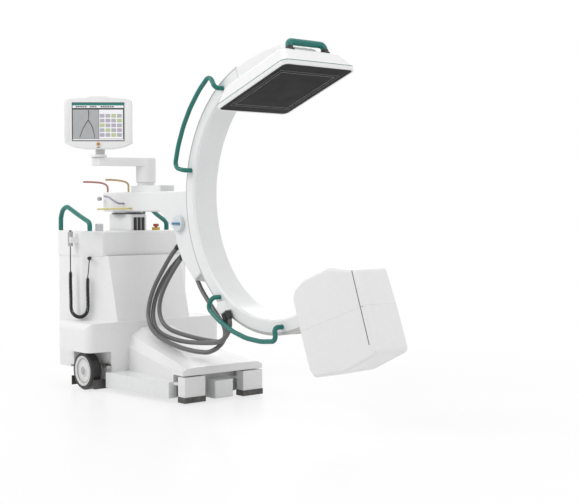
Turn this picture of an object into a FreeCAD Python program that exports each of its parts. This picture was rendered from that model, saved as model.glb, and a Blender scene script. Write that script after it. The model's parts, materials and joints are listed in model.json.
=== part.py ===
import FreeCAD, Part
import math
import os

import Sketcher
from FreeCAD import Placement, Rotation, Vector

# Mobile C-arm x-ray stand with its monitor, brakes, wheels and cables, in millimetres.
# Lengths along X are counted from the centre of the C, heights from the floor.
# The sheet value centre_x then sets the C's centre in front of the origin,
# which lies on the floor under the middle of the whole stand.


# Driving dimensions: word, value, meaning
DRIVING = [
    ("centre_x", 372, "C centre in front of the origin"),
    ("tilt", 19.35, "beam leans back at rest, degrees"),
    ("slip", 0.05, "radial clearance of a shaft in its bore"),
    ("gap", 0.5, "air between neighbouring covers"),
    ("sheet_wall", 5, "wall of the moulded covers"),
    # C-shaped arm
    ("arc_radius", 550, "inner radius of the C"),
    ("arc_depth", 56, "radial depth of the white section"),
    ("arc_half_width", 71, "half width of the C across"),
    ("arc_edge", 9, "chamfer on the C's long edges"),
    ("arc_top_angle", 92, "detector end of the C, degrees"),
    ("arc_foot_angle", 273, "generator end of the C, degrees"),
    ("rail_depth", 14, "depth of the grey guide rail"),
    ("slot_half_width", 22, "half width of the rail's slot"),
    ("slot_depth", 9, "depth of the rail's slot"),
    # Flat detector
    ("beam_offset", 190, "beam axis in front of the C centre"),
    ("detector_inset", 135, "detector's face inside the C's inner radius"),
    ("detector_length", 502, "detector front to back"),
    ("detector_width", 408, "detector side to side"),
    ("detector_corner", 32, "corner radius of the detector"),
    ("panel_thickness", 14, "black panel cover"),
    ("panel_inset", 9, "white rim beside the panel"),
    ("rim_height", 18, "height of the white rim"),
    ("housing_height", 73, "height of the sloped housing"),
    ("housing_slope", 38, "inward slope of the housing"),
    ("fairing_start", -18, "rear end of the fairing's crown beside the C centre"),
    ("bow_height", 58, "top of the detector handle above its housing"),
    ("bow_half_span", 100, "half distance between the handle's feet"),
    ("bow_radius", 15, "half thickness of the detector handle"),
    # Generator
    ("tank_front", 460, "front of the generator"),
    ("tank_back", 35, "back of the generator"),
    ("tank_inset", 124, "generator top inside the C's inner radius"),
    ("tank_height", 432, "height of the generator"),
    ("tank_upper", 206, "height of the generator's upper cover"),
    ("tank_half_width", 92, "half width of the generator"),
    ("tank_back_round", 62, "rounding over the back"),
    ("tank_edge", 14, "rounding of the covers' edges"),
    ("tube_radius", 52, "x-ray tube insert"),
    ("tank_wall", 6, "wall of the generator covers"),
    # Carriage on the C
    ("carriage_gap", 1.5, "air between carriage and rail"),
    ("carriage_half_width", 62, "half width of the carriage"),
    ("carriage_front", 857, "carriage face behind the C centre"),
    ("carriage_top", 22, "carriage top above the C centre"),
    ("carriage_tail_angle", 216, "lower end of the carriage, degrees"),
    ("carriage_tail_depth", 72, "depth of the lower end"),
    ("shoe_start", 188, "upper end of the guide shoe, degrees"),
    ("shoe_end", 212, "lower end of the guide shoe, degrees"),
    ("knob_radius", 40, "brake knob on the carriage"),
    ("knob_height", 22, "height of the brake knob"),
    ("knob_stand", 126, "brake knob outside the C's inner radius"),
    ("knob_drop", 136, "brake knob below the C centre"),
    # Cross arm
    ("arm_rise", 65, "axis of the cross arm above the column"),
    ("arm_drop", 29, "axis of the cross arm below the C centre"),
    ("arm_rear", 1403, "rear end of the arm housing"),
    ("arm_front", 866, "front end of the arm housing"),
    ("arm_half_width", 55, "half width of the arm housing"),
    ("arm_half_height", 51, "half height of the arm housing"),
    ("arm_edge", 10, "rounding of the arm housing"),
    ("slide_radius", 36, "round slide in the arm housing"),
    ("slide_rear", 1345, "rear end of the slide"),
    ("bore_spare", 20, "bore behind the cross tube"),
    ("slide_flange", 48, "flange in front of the slide"),
    ("spigot_radius", 20, "bearing spigot in the carriage"),
    ("spigot_length", 58, "length of the bearing spigot"),
    # Lift column
    ("column_x", 1242, "column behind the C centre"),
    ("column_half_length", 108, "half length of the moving column"),
    ("column_half_width", 50, "half width of the moving column"),
    ("column_wall", 10, "wall of the columns"),
    ("column_gap", 1, "air between the columns"),
    ("column_show", 82, "moving column above the head"),
    ("column_foot", 125, "foot of the moving column"),
    ("spindle_radius", 12, "lift spindle"),
    ("spindle_top", 560, "top of the lift spindle"),
    ("disc_radius", 84, "swivel disc"),
    ("disc_height", 8, "height of the swivel disc"),
    ("pivot_radius", 26, "swivel pivot"),
    ("pivot_height", 17, "swivel pivot above its disc"),
    # Trolley body
    ("body_front_top", 1082, "front of the body at its top"),
    ("body_front_foot", 997, "front of the body at its foot"),
    ("body_front_half", 217, "half width of the body's front"),
    ("body_side_front", 1173, "front of the body's side"),
    ("body_half_width", 317, "half width of the body"),
    ("body_rear", 1427, "rear of the body"),
    ("body_height", 324, "height of the body above the base"),
    ("rear_round", 36, "rounding of the rear corners"),
    ("head_height", 126, "height of the head above the body"),
    ("head_front", 1096, "front of the head"),
    ("head_front_half", 238, "half width of the head's front"),
    ("head_side_front", 1181, "front of the head's side"),
    ("head_half_width", 322, "half width of the head"),
    ("head_edge", 12, "rounding of the head's edges"),
    # Base
    ("base_front", 975, "front of the rear wing"),
    ("base_rear", 1283, "rear of the rear wing"),
    ("base_half_width", 400, "half width of the rear wing"),
    ("base_top", 340, "top of the rear wing"),
    ("arch_height", 197, "underside of the wing over the wheels"),
    ("base_core_half", 268, "half width of the base between the wheels"),
    ("base_edge", 40, "rounding of the wing"),
    ("frame_foot", 22, "underside of the frame"),
    ("frame_rear_top", 110, "top of the frame's rear"),
    ("frame_front_top", 97, "top of the frame's legs"),
    ("frame_front", 500, "front of the legs"),
    ("leg_rear_half", 300, "half width of the legs at the rear"),
    ("leg_front_half", 252, "half width of the legs at the front"),
    ("hood_front", 412, "front lip of the foot cover"),
    ("hood_half_rear", 170, "half width of the foot cover at the rear"),
    ("hood_half_front", 233, "half width of the foot cover at the front"),
    ("lip_top", 168, "top of the front lip"),
    ("lip_foot", 132, "underside of the front lip"),
    ("lip_drop", 16, "the lip's outer edge below its top"),
    ("hood_top", 306, "top of the foot cover against the wing"),
    ("hood_waist_x", 640, "change of slope of the foot cover"),
    ("hood_waist_top", 214, "top of the foot cover at that change"),
    ("hood_shoulder", 90, "half width of the foot cover's flat crown"),
    # Wheels
    ("wheel_x", 1109, "rear axle behind the C centre"),
    ("wheel_radius", 95, "rear wheel"),
    ("wheel_middle", 326, "rear wheel beside the middle plane"),
    ("wheel_half_width", 27, "half width of the rear wheel"),
    ("rim_radius", 74, "rim of the rear wheel"),
    ("axle_radius", 12, "rear axle"),
    ("caster_x", 462, "caster pivot behind the C centre"),
    ("caster_y", 170, "caster pivot beside the middle plane"),
    ("caster_radius", 36, "caster wheel"),
    ("caster_half_width", 11, "half width of a caster wheel"),
    ("caster_trail", 12, "caster wheel behind its pivot"),
    ("caster_axle", 4, "caster axle"),
    ("bumper_half", 53, "half width of the box between the casters"),
    ("bumper_foot", 12, "underside of the box between the casters"),
    ("cover_half", 58, "half size of a caster cover"),
    ("cover_top", 126, "top of a caster cover"),
    ("cover_foot", 34, "underside of a caster cover"),
    # Monitor
    ("post_x", 1068, "monitor post behind the C centre"),
    ("post_radius", 50, "monitor post"),
    ("post_plate", 30, "thickness of the post's plate"),
    ("post_neck", 18, "monitor arm above the plate"),
    ("boom_hub", 82, "hub of the monitor arm below its bar"),
    ("boom_bar", 42, "height of the monitor arm's bar"),
    ("boom_reach", 244, "length of the monitor arm"),
    ("boom_azimuth", 109, "monitor arm points right and back, degrees"),
    ("stem_radius", 42, "disc under the monitor"),
    ("screen_turn", 40, "monitor faces forward and right, degrees"),
    ("hinge_rise", 72, "monitor hinge above the monitor arm"),
    ("hinge_back", 62, "monitor hinge behind the screen"),
    ("hinge_radius", 7, "monitor hinge pin"),
    ("monitor_half_width", 171, "half width of the monitor"),
    ("monitor_drop", 27, "lower edge of the monitor below its hinge"),
    ("monitor_height", 257, "height of the monitor"),
    ("monitor_depth", 44, "depth of the monitor"),
    ("screen_half_width", 131, "half width of the screen"),
    ("screen_rise", 37, "screen above the monitor's lower edge"),
    ("screen_height", 192, "height of the screen"),
    ("glass_thickness", 3, "screen glass"),
    # Controls and cables
    ("bar_radius", 11, "grab bars on the C"),
    ("bar_offset", 44, "grab bars beside the C's face"),
    ("push_bow_radius", 12, "push handles on the head"),
    ("bow_inset", 22, "right push handle inside the head's side"),
    ("left_bow_y", 190, "left push handle beside the middle plane"),
    ("lever_radius", 5, "brake levers"),
    ("pedal_x", 1062, "brake pedal's shaft behind the C centre"),
    ("pedal_height", 136, "brake pedal's shaft above the floor"),
    ("pedal_shaft", 8, "radius of the brake pedal's shaft"),
    ("stop_radius", 15, "emergency stop head"),
    ("stop_height", 22, "emergency stop head above its base"),
    ("hose_radius", 11, "grey hoses"),
    ("clamp_inset", 22, "hose clamp outside the C's inner radius"),
    ("clamp_depth", 44, "radial depth of the hose clamp"),
    ("coil_radius", 9.5, "curly cord"),
    ("lead_radius", 2.6, "straight lead of the curly cord"),
    ("switch_radius", 13, "hand switch"),
]

# Heights that follow from the driving ones: word, formula, meaning
DERIVED = [
    ("detector_face", "arc_radius - detector_inset", "detector's face above the C centre"),
    ("tank_top", "arc_radius - tank_inset", "generator top below the C centre"),
    ("tank_seam", "tank_top + tank_upper", "seam between the covers"),
    ("tank_bottom", "tank_top + tank_height", "generator bottom below the C centre"),
    ("body_top", "base_top + body_height", "top of the body"),
    ("head_top", "body_top + head_height", "top of the head"),
    ("column_top", "head_top + column_show", "top of the moving column"),
    ("arm_height", "column_top + arm_rise", "axis of the cross arm above the floor"),
    ("centre_height", "arm_height + arm_drop", "C centre above the floor"),
    ("post_plate_top", "arm_height + arm_half_height + post_plate", "top of the post's plate"),
    ("boom_foot", "post_plate_top + post_neck", "underside of the monitor arm's hub"),
    ("boom_bar_foot", "boom_foot + boom_hub", "underside of the monitor arm's bar"),
    ("boom_top", "boom_bar_foot + boom_bar", "top of the monitor arm"),
    ("hinge_height", "boom_top + hinge_rise", "monitor hinge above the floor"),
    ("monitor_foot", "hinge_height - monitor_drop", "lower edge of the monitor"),
    ("monitor_top", "monitor_foot + monitor_height", "upper edge of the monitor"),
    ("screen_foot", "monitor_foot + screen_rise", "lower edge of the screen"),
    ("screen_top", "screen_foot + screen_height", "upper edge of the screen"),
]


class Size:
    """A number together with the sheet formula that it comes from."""

    def __init__(self, text, number):
        self.text = text
        self.number = number

    def joined(self, other, sign, number):
        return Size(f"({self.text} {sign} {other.text})", number)

    def __add__(self, other):
        other = size(other)
        return self.joined(other, "+", self.number + other.number)

    def __radd__(self, other):
        return size(other) + self

    def __sub__(self, other):
        other = size(other)
        return self.joined(other, "-", self.number - other.number)

    def __rsub__(self, other):
        return size(other) - self

    def __mul__(self, other):
        other = size(other)
        return self.joined(other, "*", self.number * other.number)

    def __rmul__(self, other):
        return size(other) * self

    def __truediv__(self, other):
        other = size(other)
        return self.joined(other, "/", self.number / other.number)

    def __neg__(self):
        return size(0) - self

    def __float__(self):
        return float(self.number)


def size(value):
    return value if isinstance(value, Size) else Size(repr(value), value)


class Sizes:
    """The sheet's values by their words."""


doc = FreeCAD.newDocument("c_arm")
sheet = doc.addObject("Spreadsheet::Sheet", "Sheet")
formulas = [(word, f"={formula}", meaning) for word, formula, meaning in DERIVED]
for row, (word, content, meaning) in enumerate(DRIVING + formulas, start=1):
    sheet.set(f"A{row}", word)
    sheet.set(f"B{row}", str(content))
    sheet.setAlias(f"B{row}", word)
    sheet.set(f"C{row}", meaning)
doc.recompute()
d = Sizes()
for word, content, meaning in DRIVING + DERIVED:
    setattr(d, word, Size(f"Sheet.{word}", float(sheet.get(word))))

sub_parts = []
X_AXIS = Vector(1, 0, 0)
Y_AXIS = Vector(0, 1, 0)
Z_AXIS = Vector(0, 0, 1)


# General helpers

def bind(thing, path, value):
    thing.setExpression(path, size(value).text)


def place(thing, x=0, y=0, z=0, axis=Z_AXIS, angle=0):
    x, y, z, angle = size(x), size(y), size(z), size(angle)
    turn = Rotation(axis, float(angle))
    thing.Placement = Placement(Vector(float(x), float(y), float(z)), turn)
    for letter, value in zip("xyz", (x, y, z)):
        bind(thing, f"Placement.Base.{letter}", value)
    if float(angle):
        bind(thing, "Placement.Rotation.Angle", angle)


def on_trolley(thing):
    place(thing, x=d.centre_x)


def on_arc(thing):
    place(thing, x=d.centre_x, z=d.centre_height, axis=Y_AXIS, angle=-d.tilt)


def new_body(label):
    body = doc.addObject("PartDesign::Body", label)
    body.Label = label
    sub_parts.append(body)
    return body


def outline(body, role, points, offset=0):
    """A closed sketch on one of the body's own planes, each corner tied to the sheet."""
    sketch = body.newObject("Sketcher::SketchObject", f"{body.Name}_outline")
    plane = [each for each in body.Origin.OriginFeatures if each.Role == role][0]
    sketch.AttachmentSupport = (plane, [""])
    sketch.MapMode = "FlatFace"
    offset = size(offset)
    if float(offset):
        sketch.AttachmentOffset = Placement(Vector(0, 0, float(offset)), Rotation())
        bind(sketch, "AttachmentOffset.Base.z", offset)
    corners = [(size(x), size(y)) for x, y in points]
    count = len(corners)
    for index in range(count):
        start = Vector(float(corners[index][0]), float(corners[index][1]), 0)
        after = corners[(index + 1) % count]
        end = Vector(float(after[0]), float(after[1]), 0)
        sketch.addGeometry(Part.LineSegment(start, end), False)
    for index in range(count):
        sketch.addConstraint(Sketcher.Constraint("Coincident", index, 2, (index + 1) % count, 1))
    for index, corner in enumerate(corners):
        for kind, value in zip(("DistanceX", "DistanceY"), corner):
            rule = Sketcher.Constraint(kind, -1, 1, index, 1, float(value))
            number = sketch.addConstraint(rule)
            bind(sketch, f"Constraints[{number}]", value)
    return sketch


def rounded_outline(body, role, box, corner, offset=0):
    """A rectangular sketch with arcs at its corners; box is two opposite corners."""
    sketch = outline(body, role, [], offset)
    (left, foot), (right, top) = box
    corner = size(corner)
    sides = [
        ((left + corner, foot), (right - corner, foot)),
        ((right, foot + corner), (right, top - corner)),
        ((right - corner, top), (left + corner, top)),
        ((left, top - corner), (left, foot + corner)),
    ]
    for start, end in sides:
        first, last = (Vector(float(size(x)), float(size(y)), 0) for x, y in (start, end))
        sketch.addGeometry(Part.LineSegment(first, last), False)
    for index, side in enumerate(sides):
        for end, (x, y) in enumerate(side, start=1):
            for kind, value in (("DistanceX", x), ("DistanceY", y)):
                rule = Sketcher.Constraint(kind, -1, 1, index, end, float(size(value)))
                bind(sketch, f"Constraints[{sketch.addConstraint(rule)}]", value)
    for index in range(4):
        after = (index + 1) % 4
        line = sketch.Geometry[index]
        along = (line.EndPoint - line.StartPoint).normalize()
        centre = line.EndPoint + Vector(-along.y, along.x, 0) * float(corner)
        first = math.atan2(line.EndPoint.y - centre.y, line.EndPoint.x - centre.x)
        ring = Part.Circle(centre, Z_AXIS, float(corner))
        arc = sketch.addGeometry(Part.ArcOfCircle(ring, first, first + math.pi / 2), False)
        sketch.addConstraint(Sketcher.Constraint("Coincident", index, 2, arc, 1))
        sketch.addConstraint(Sketcher.Constraint("Coincident", arc, 2, after, 1))
        number = sketch.addConstraint(Sketcher.Constraint("Radius", arc, float(corner)))
        bind(sketch, f"Constraints[{number}]", corner)
    return sketch


def circle(body, role, centre, radius, offset=0):
    """A round sketch on one of the body's own planes."""
    sketch = body.newObject("Sketcher::SketchObject", f"{body.Name}_circle")
    plane = [each for each in body.Origin.OriginFeatures if each.Role == role][0]
    sketch.AttachmentSupport = (plane, [""])
    sketch.MapMode = "FlatFace"
    offset = size(offset)
    if float(offset):
        sketch.AttachmentOffset = Placement(Vector(0, 0, float(offset)), Rotation())
        bind(sketch, "AttachmentOffset.Base.z", offset)
    x, y = size(centre[0]), size(centre[1])
    middle = Vector(float(x), float(y), 0)
    sketch.addGeometry(Part.Circle(middle, Z_AXIS, float(size(radius))), False)
    for kind, value in (("DistanceX", x), ("DistanceY", y)):
        number = sketch.addConstraint(Sketcher.Constraint(kind, -1, 1, 0, 3, float(value)))
        bind(sketch, f"Constraints[{number}]", value)
    number = sketch.addConstraint(Sketcher.Constraint("Radius", 0, float(size(radius))))
    bind(sketch, f"Constraints[{number}]", radius)
    return sketch


def pad(body, sketch, length, both_ways=False):
    feature = body.newObject("PartDesign::Pad", f"{body.Name}_pad")
    feature.Profile = sketch
    feature.Midplane = both_ways
    bind(feature, "Length", length)
    return feature


def pocket(body, sketch, length, both_ways=False):
    feature = body.newObject("PartDesign::Pocket", f"{body.Name}_pocket")
    feature.Profile = sketch
    feature.Midplane = both_ways
    bind(feature, "Length", length)
    return feature


def revolved(body, sketch, angle=360):
    """Turns the sketch about its own upright axis."""
    feature = body.newObject("PartDesign::Revolution", f"{body.Name}_turned")
    feature.Profile = sketch
    feature.ReferenceAxis = (sketch, ["V_Axis"])
    bind(feature, "Angle", angle)
    return feature


def loft(body, sketches, away=False):
    kind = "PartDesign::SubtractiveLoft" if away else "PartDesign::AdditiveLoft"
    feature = body.newObject(kind, f"{body.Name}_loft")
    feature.Profile = sketches[0]
    feature.Sections = sketches[1:]
    feature.Ruled = True
    return feature


def rounded(body, radius, chosen, kind="Fillet"):
    """Rounds or chamfers the edges of the body's last feature that the test picks."""
    doc.recompute()
    base = body.Tip
    edges = enumerate(base.Shape.Edges, start=1)
    names = [f"Edge{number}" for number, edge in edges if chosen(edge)]
    feature = body.newObject(f"PartDesign::{kind}", f"{body.Name}_{kind.lower()}")
    feature.Base = (base, names)
    bind(feature, "Radius" if kind == "Fillet" else "Size", radius)
    return feature


def runs_along(edge, axis):
    ends = [vertex.Point for vertex in edge.Vertexes]
    if len(ends) < 2:
        return False
    line = (ends[1] - ends[0]).normalize()
    return abs(abs(line.dot(axis)) - 1) < 1e-4


def middle_of(edge):
    return edge.BoundBox.Center


def rectangle(x_low, x_high, y_low, y_high):
    return [(x_low, y_low), (x_high, y_low), (x_high, y_high), (x_low, y_high)]


def hexagon_nose(front, front_half, side_front, half, rear):
    """Plan of a housing with a narrow front, slanted corners and straight sides."""
    near = [(-rear, -half), (-side_front, -half), (-front, -front_half)]
    far = [(-front, front_half), (-side_front, half), (-rear, half)]
    return near + far


def whole_solid(label, shape):
    """A sub-part made with plain shape functions from the sheet's values."""
    thing = doc.addObject("Part::Feature", label)
    thing.Label = label
    thing.Shape = shape
    sub_parts.append(thing)
    return thing


def spot(x, y, z):
    return Vector(float(size(x)), float(size(y)), float(size(z)))


def bend_radius(points, index):
    """The largest arc that the two runs at a corner allow."""
    before, corner, after = points[index - 1:index + 2]
    turn = (corner - before).getAngle(after - corner)
    shorter = min((corner - before).Length, (after - corner).Length)
    return 0.45 * shorter / math.tan(turn / 2)


def bent_path(points, bend=None):
    """Straight runs joined by tangent arcs; bend is one radius, or as large as fits."""
    edges = []
    start = points[0]
    for index in range(1, len(points) - 1):
        before, corner, after = points[index - 1:index + 2]
        into = (corner - before).normalize()
        out = (after - corner).normalize()
        turn = into.getAngle(out)
        radius = bend_radius(points, index)
        if bend is not None:
            radius = min(radius, float(size(bend)))
        reach = radius * math.tan(turn / 2)
        first = corner - into * reach
        last = corner + out * reach
        inward = (out - into).normalize()
        centre = corner + inward * (radius / math.cos(turn / 2))
        edges.append(Part.LineSegment(start, first).toShape())
        edges.append(Part.Arc(first, centre - inward * radius, last).toShape())
        start = last
    edges.append(Part.LineSegment(start, points[-1]).toShape())
    return Part.Wire(edges)


def rod(points, radius, bend=None):
    """A round bar along a bent path."""
    path = bent_path(points, bend)
    along = points[1] - points[0]
    section = Part.Wire([Part.Circle(points[0], along, float(size(radius))).toShape()])
    shape = path.makePipeShell([section], True, True)
    wanted = math.pi * float(size(radius)) ** 2 * path.Length
    if abs(shape.Volume - wanted) > 0.01 * wanted:
        raise ValueError(f"bar volume {shape.Volume:.0f} instead of {wanted:.0f}")
    return shape


# C-shaped arm and its guide rail

def arc_body(label, profile, end_angle, sweep, tilted=True):
    """A ring segment about the C's cross axis; angles run from the front upwards."""
    body = new_body(label)
    sketch = outline(body, "XY_Plane", profile)
    revolved(body, sketch, sweep)
    turn = -end_angle - d.tilt if tilted else -end_angle
    place(body, x=d.centre_x, z=d.centre_height, axis=Y_AXIS, angle=turn)
    return body


def make_c_arc():
    inner, half, edge = d.arc_radius, d.arc_half_width, d.arc_edge
    outer = inner + d.arc_depth
    profile = [
        (inner + edge, -half),
        (outer, -half),
        (outer, half),
        (inner + edge, half),
        (inner, half - edge),
        (inner, -half + edge),
    ]
    arc_body("c_arc", profile, d.arc_foot_angle, d.arc_foot_angle - d.arc_top_angle)


def make_guide_rail():
    inner = d.arc_radius + d.arc_depth
    outer = inner + d.rail_depth
    half, slot = d.arc_half_width, d.slot_half_width
    floor = outer - d.slot_depth
    profile = [
        (inner, -half + 2),
        (outer - 4, -half + 2),
        (outer, -half + 6),
        (outer, -slot),
        (floor, -slot),
        (floor, slot),
        (outer, slot),
        (outer, half - 6),
        (outer - 4, half - 2),
        (inner, half - 2),
    ]
    arc_body("guide_rail", profile, d.arc_foot_angle, d.arc_foot_angle - d.arc_top_angle)


def arc_point(radius, angle, beside):
    """A point beside the C in the C's own frame."""
    turn = math.radians(float(size(angle)))
    radius = float(size(radius))
    return Vector(radius * math.cos(turn), float(size(beside)), radius * math.sin(turn))


def make_grab_bar(label, first_angle, last_angle, foot_radius, reach):
    """A bar that stands off the C's side, runs round outside it and comes back."""
    side = -d.arc_half_width
    away = side - d.bar_offset
    middle_radius = d.arc_radius + d.arc_depth + d.rail_depth + reach
    points = [arc_point(foot_radius, first_angle, side), arc_point(foot_radius, first_angle, away)]
    steps = 5
    for step in range(steps + 1):
        angle = first_angle + (last_angle - first_angle) * (step / steps)
        points.append(arc_point(middle_radius, angle, away))
    points.append(arc_point(foot_radius, last_angle, away))
    points.append(arc_point(foot_radius, last_angle, side))
    shape = rod(points, d.bar_radius, bend=300)
    on_arc(whole_solid(label, shape))


# Flat detector at the upper end of the C

def detector_box(inset):
    back = d.beam_offset - d.detector_length / 2 + inset
    front = d.beam_offset + d.detector_length / 2 - inset
    half = d.detector_width / 2 - inset
    return (back, -half), (front, half)


def detector_slab(label, low, height, inset, corner):
    body = new_body(label)
    sketch = rounded_outline(body, "XY_Plane", detector_box(inset), corner, offset=low)
    pad(body, sketch, height)
    return body


def make_detector():
    face = d.detector_face
    rim = detector_slab("detector_rim", face, d.rim_height, 0, d.detector_corner)
    inner_corner = d.detector_corner - d.panel_inset
    ceiling = face + d.panel_thickness
    recess = rounded_outline(rim, "XY_Plane", detector_box(d.panel_inset), inner_corner, offset=ceiling)
    pocket(rim, recess, d.panel_thickness)
    on_arc(rim)
    corner = inner_corner - d.gap
    inset = d.panel_inset + d.gap
    on_arc(detector_slab("detector_panel", face, d.panel_thickness, inset, corner))
    housing = new_body("detector_housing")
    foot = face + d.rim_height
    top = foot + d.housing_height
    shoulder = d.housing_slope - 6
    sections = []
    for inset, height in ((0, foot), (shoulder, top - 10), (d.housing_slope + 6, top)):
        box = detector_box(inset)
        sections.append(rounded_outline(housing, "XY_Plane", box, d.detector_corner, offset=height))
    loft(housing, sections)
    on_arc(housing)


def make_fairing():
    """The cover that carries the C's end on over the detector."""
    body = new_body("detector_fairing")
    foot = d.detector_face + d.rim_height + d.housing_height
    outer = d.arc_radius + d.arc_depth + d.rail_depth
    end = d.fairing_start
    points = [
        (end - 38, foot),
        (end - 38, d.arc_radius - 12),
        (end, d.arc_radius - 2),
        (end, outer),
        (60, outer + 2),
        (190, outer - 10),
        (300, outer - 36),
        (362, foot + 30),
        (372, foot),
    ]
    pad(body, outline(body, "XZ_Plane", points), 2 * d.arc_half_width, both_ways=True)
    top = float(outer) - 60

    def is_long_top(edge):
        centre = middle_of(edge)
        beside = abs(abs(centre.y) - float(d.arc_half_width)) < 0.01
        return beside and centre.z > top and centre.x > float(end) + 5

    rounded(body, 18, is_long_top)
    on_arc(body)


def make_detector_handle():
    foot = d.detector_face + d.rim_height + d.housing_height
    top = foot + d.bow_height - d.bow_radius
    x = d.beam_offset + d.detector_length / 2 - d.housing_slope - 22
    span = d.bow_half_span
    points = [spot(x, -span, foot), spot(x, -span, top), spot(x, span, top), spot(x, span, foot)]
    on_arc(whole_solid("detector_handle", rod(points, d.bow_radius, bend=30)))


# X-ray generator at the lower end of the C

def tank_outline(inset):
    """Side view of the generator, as upper and lower halves; the inner one keeps off the rounding."""
    back = d.tank_back + inset
    front = d.tank_front - inset
    top = -d.tank_top - inset
    bottom = -d.tank_bottom + inset
    seam = -d.tank_seam
    upper = [
        (back, seam),
        (back, top - 34),
        (d.beam_offset - 60, top - 4),
        (d.beam_offset + 105, top),
        (front - 14, top - 56),
        (front - 2, seam),
    ]
    lower = [
        (back, seam),
        (front - 2, seam),
        (front + 2, bottom + 34),
        (front - 16, bottom + 22),
        (d.beam_offset + 60, bottom),
        (back + 24, bottom + 22),
        (back + 6, bottom + 60),
    ]
    return upper, lower


def make_generator():
    outer = tank_outline(0)
    inner = tank_outline(d.tank_wall)
    corner = inner[0][1]
    inner[0][1:2] = [(corner[0], corner[1] - 44), (corner[0] + 44, corner[1])]
    seam = float(-d.tank_seam)
    for label, shell, hollow in (
        ("generator_upper", outer[0], inner[0]),
        ("generator_lower", outer[1], inner[1]),
    ):
        body = new_body(label)
        pad(body, outline(body, "XZ_Plane", shell), 2 * d.tank_half_width, both_ways=True)

        def is_outer_edge(edge):
            centre = middle_of(edge)
            away = abs(centre.z - seam) > 3
            across = runs_along(edge, Y_AXIS)
            return away and not across and edge.BoundBox.ZLength + edge.BoundBox.XLength > 8

        def is_back_top(edge):
            centre = middle_of(edge)
            across = runs_along(edge, Y_AXIS)
            return across and centre.z > seam + 60 and centre.x < float(d.beam_offset)

        def is_cross_edge(edge):
            centre = middle_of(edge)
            return runs_along(edge, Y_AXIS) and abs(centre.z - seam) > 60

        def is_seam_edge(edge):
            return abs(middle_of(edge).z - seam) < 0.01

        if label == "generator_upper":
            rounded(body, d.tank_back_round, is_back_top)
            rounded(body, 20, lambda edge: is_cross_edge(edge) and middle_of(edge).x > 250)
        else:
            rounded(body, 20, is_cross_edge)
        rounded(body, d.tank_edge, is_outer_edge)
        rounded(body, 1.5, is_seam_edge, kind="Chamfer")
        cavity = outline(body, "XZ_Plane", hollow)
        pocket(body, cavity, 2 * (d.tank_half_width - d.tank_wall), both_ways=True)
        on_arc(body)

    insert = new_body("xray_tube")
    centre = (d.beam_offset, -d.tank_top - 130)
    pad(insert, circle(insert, "XZ_Plane", centre, d.tube_radius), 2 * (d.tank_half_width - d.tank_wall), both_ways=True)
    rounded(insert, 8, lambda edge: len(edge.Vertexes) == 1)
    on_arc(insert)

# Carriage that carries the C

def polar(radius, angle):
    """A point of a side view from a radius and an angle in degrees."""
    radius, angle = size(radius), size(angle)
    turn = math.radians(angle.number)
    x = Size(f"({radius.text} * cos({angle.text} * 1 deg))", radius.number * math.cos(turn))
    z = Size(f"({radius.text} * sin({angle.text} * 1 deg))", radius.number * math.sin(turn))
    return x, z


def make_carriage():
    body = new_body("carriage")
    rail = d.arc_radius + d.arc_depth + d.rail_depth
    inner = rail + d.carriage_gap
    tail = d.carriage_tail_angle
    top = d.carriage_top
    axis = d.arm_height - d.centre_height
    foot = axis - d.arm_half_height
    back = [
        polar(rail + d.carriage_tail_depth, tail),
        polar(rail + d.carriage_tail_depth + 28, tail - 8),
        polar(rail + d.carriage_tail_depth + 48, tail - 15),
        polar(rail + d.carriage_tail_depth + 60, tail - 23),
    ]
    points = [(-d.carriage_front, top), (-rail + 60, top)]
    points += [polar(rail - 60, tail - 4), polar(rail - 60, tail)]
    points += back + [(-d.carriage_front, foot)]
    pad(body, outline(body, "XZ_Plane", points), 2 * d.carriage_half_width, both_ways=True)
    pocket(body, circle(body, "XZ_Plane", (0, 0), inner), 4 * d.carriage_half_width, both_ways=True)
    rear_face = float(-d.carriage_front)

    def is_long_edge(edge):
        centre = middle_of(edge)
        beside = abs(abs(centre.y) - float(d.carriage_half_width)) < 0.01
        near_rail = math.hypot(centre.x, centre.z) < float(inner) + 12
        return beside and not near_rail and centre.x > rear_face + 1 and edge.Length > 40

    rounded(body, 10, is_long_edge)
    lug = [(-740, -219), (-678, -327), (-640, -310), (-700, -200)]
    pad(body, outline(body, "XZ_Plane", lug), 84, both_ways=True)
    bore = circle(body, "YZ_Plane", (0, axis), d.spigot_radius + d.slip, offset=-d.carriage_front + d.spigot_length)
    pocket(body, bore, d.spigot_length + 10)
    place(body, x=d.centre_x, z=d.centre_height)

    shoe_inner = rail - d.slot_depth + d.gap
    half = d.slot_half_width - d.gap
    profile = rectangle(shoe_inner, inner, -half, half)
    sweep = d.shoe_end - d.shoe_start
    arc_body("guide_shoe", profile, d.shoe_end, sweep, tilted=False)


def make_carriage_knob():
    body = new_body("carriage_knob")
    x, z = -d.arc_radius - d.knob_stand, -d.knob_drop
    face = d.carriage_half_width
    pad(body, circle(body, "XZ_Plane", (x, z), d.knob_radius, offset=face), d.knob_height)
    end = -float(face) - float(d.knob_height)
    rounded(body, 6, lambda edge: abs(middle_of(edge).y - end) < 0.01)
    bar = rectangle(x - d.knob_radius * 0.75, x + d.knob_radius * 0.75, z - 5, z + 5)
    pad(body, outline(body, "XZ_Plane", bar, offset=face + d.knob_height), 7)
    place(body, x=d.centre_x, z=d.centre_height)


# Cross arm, swivel and lift column

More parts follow.
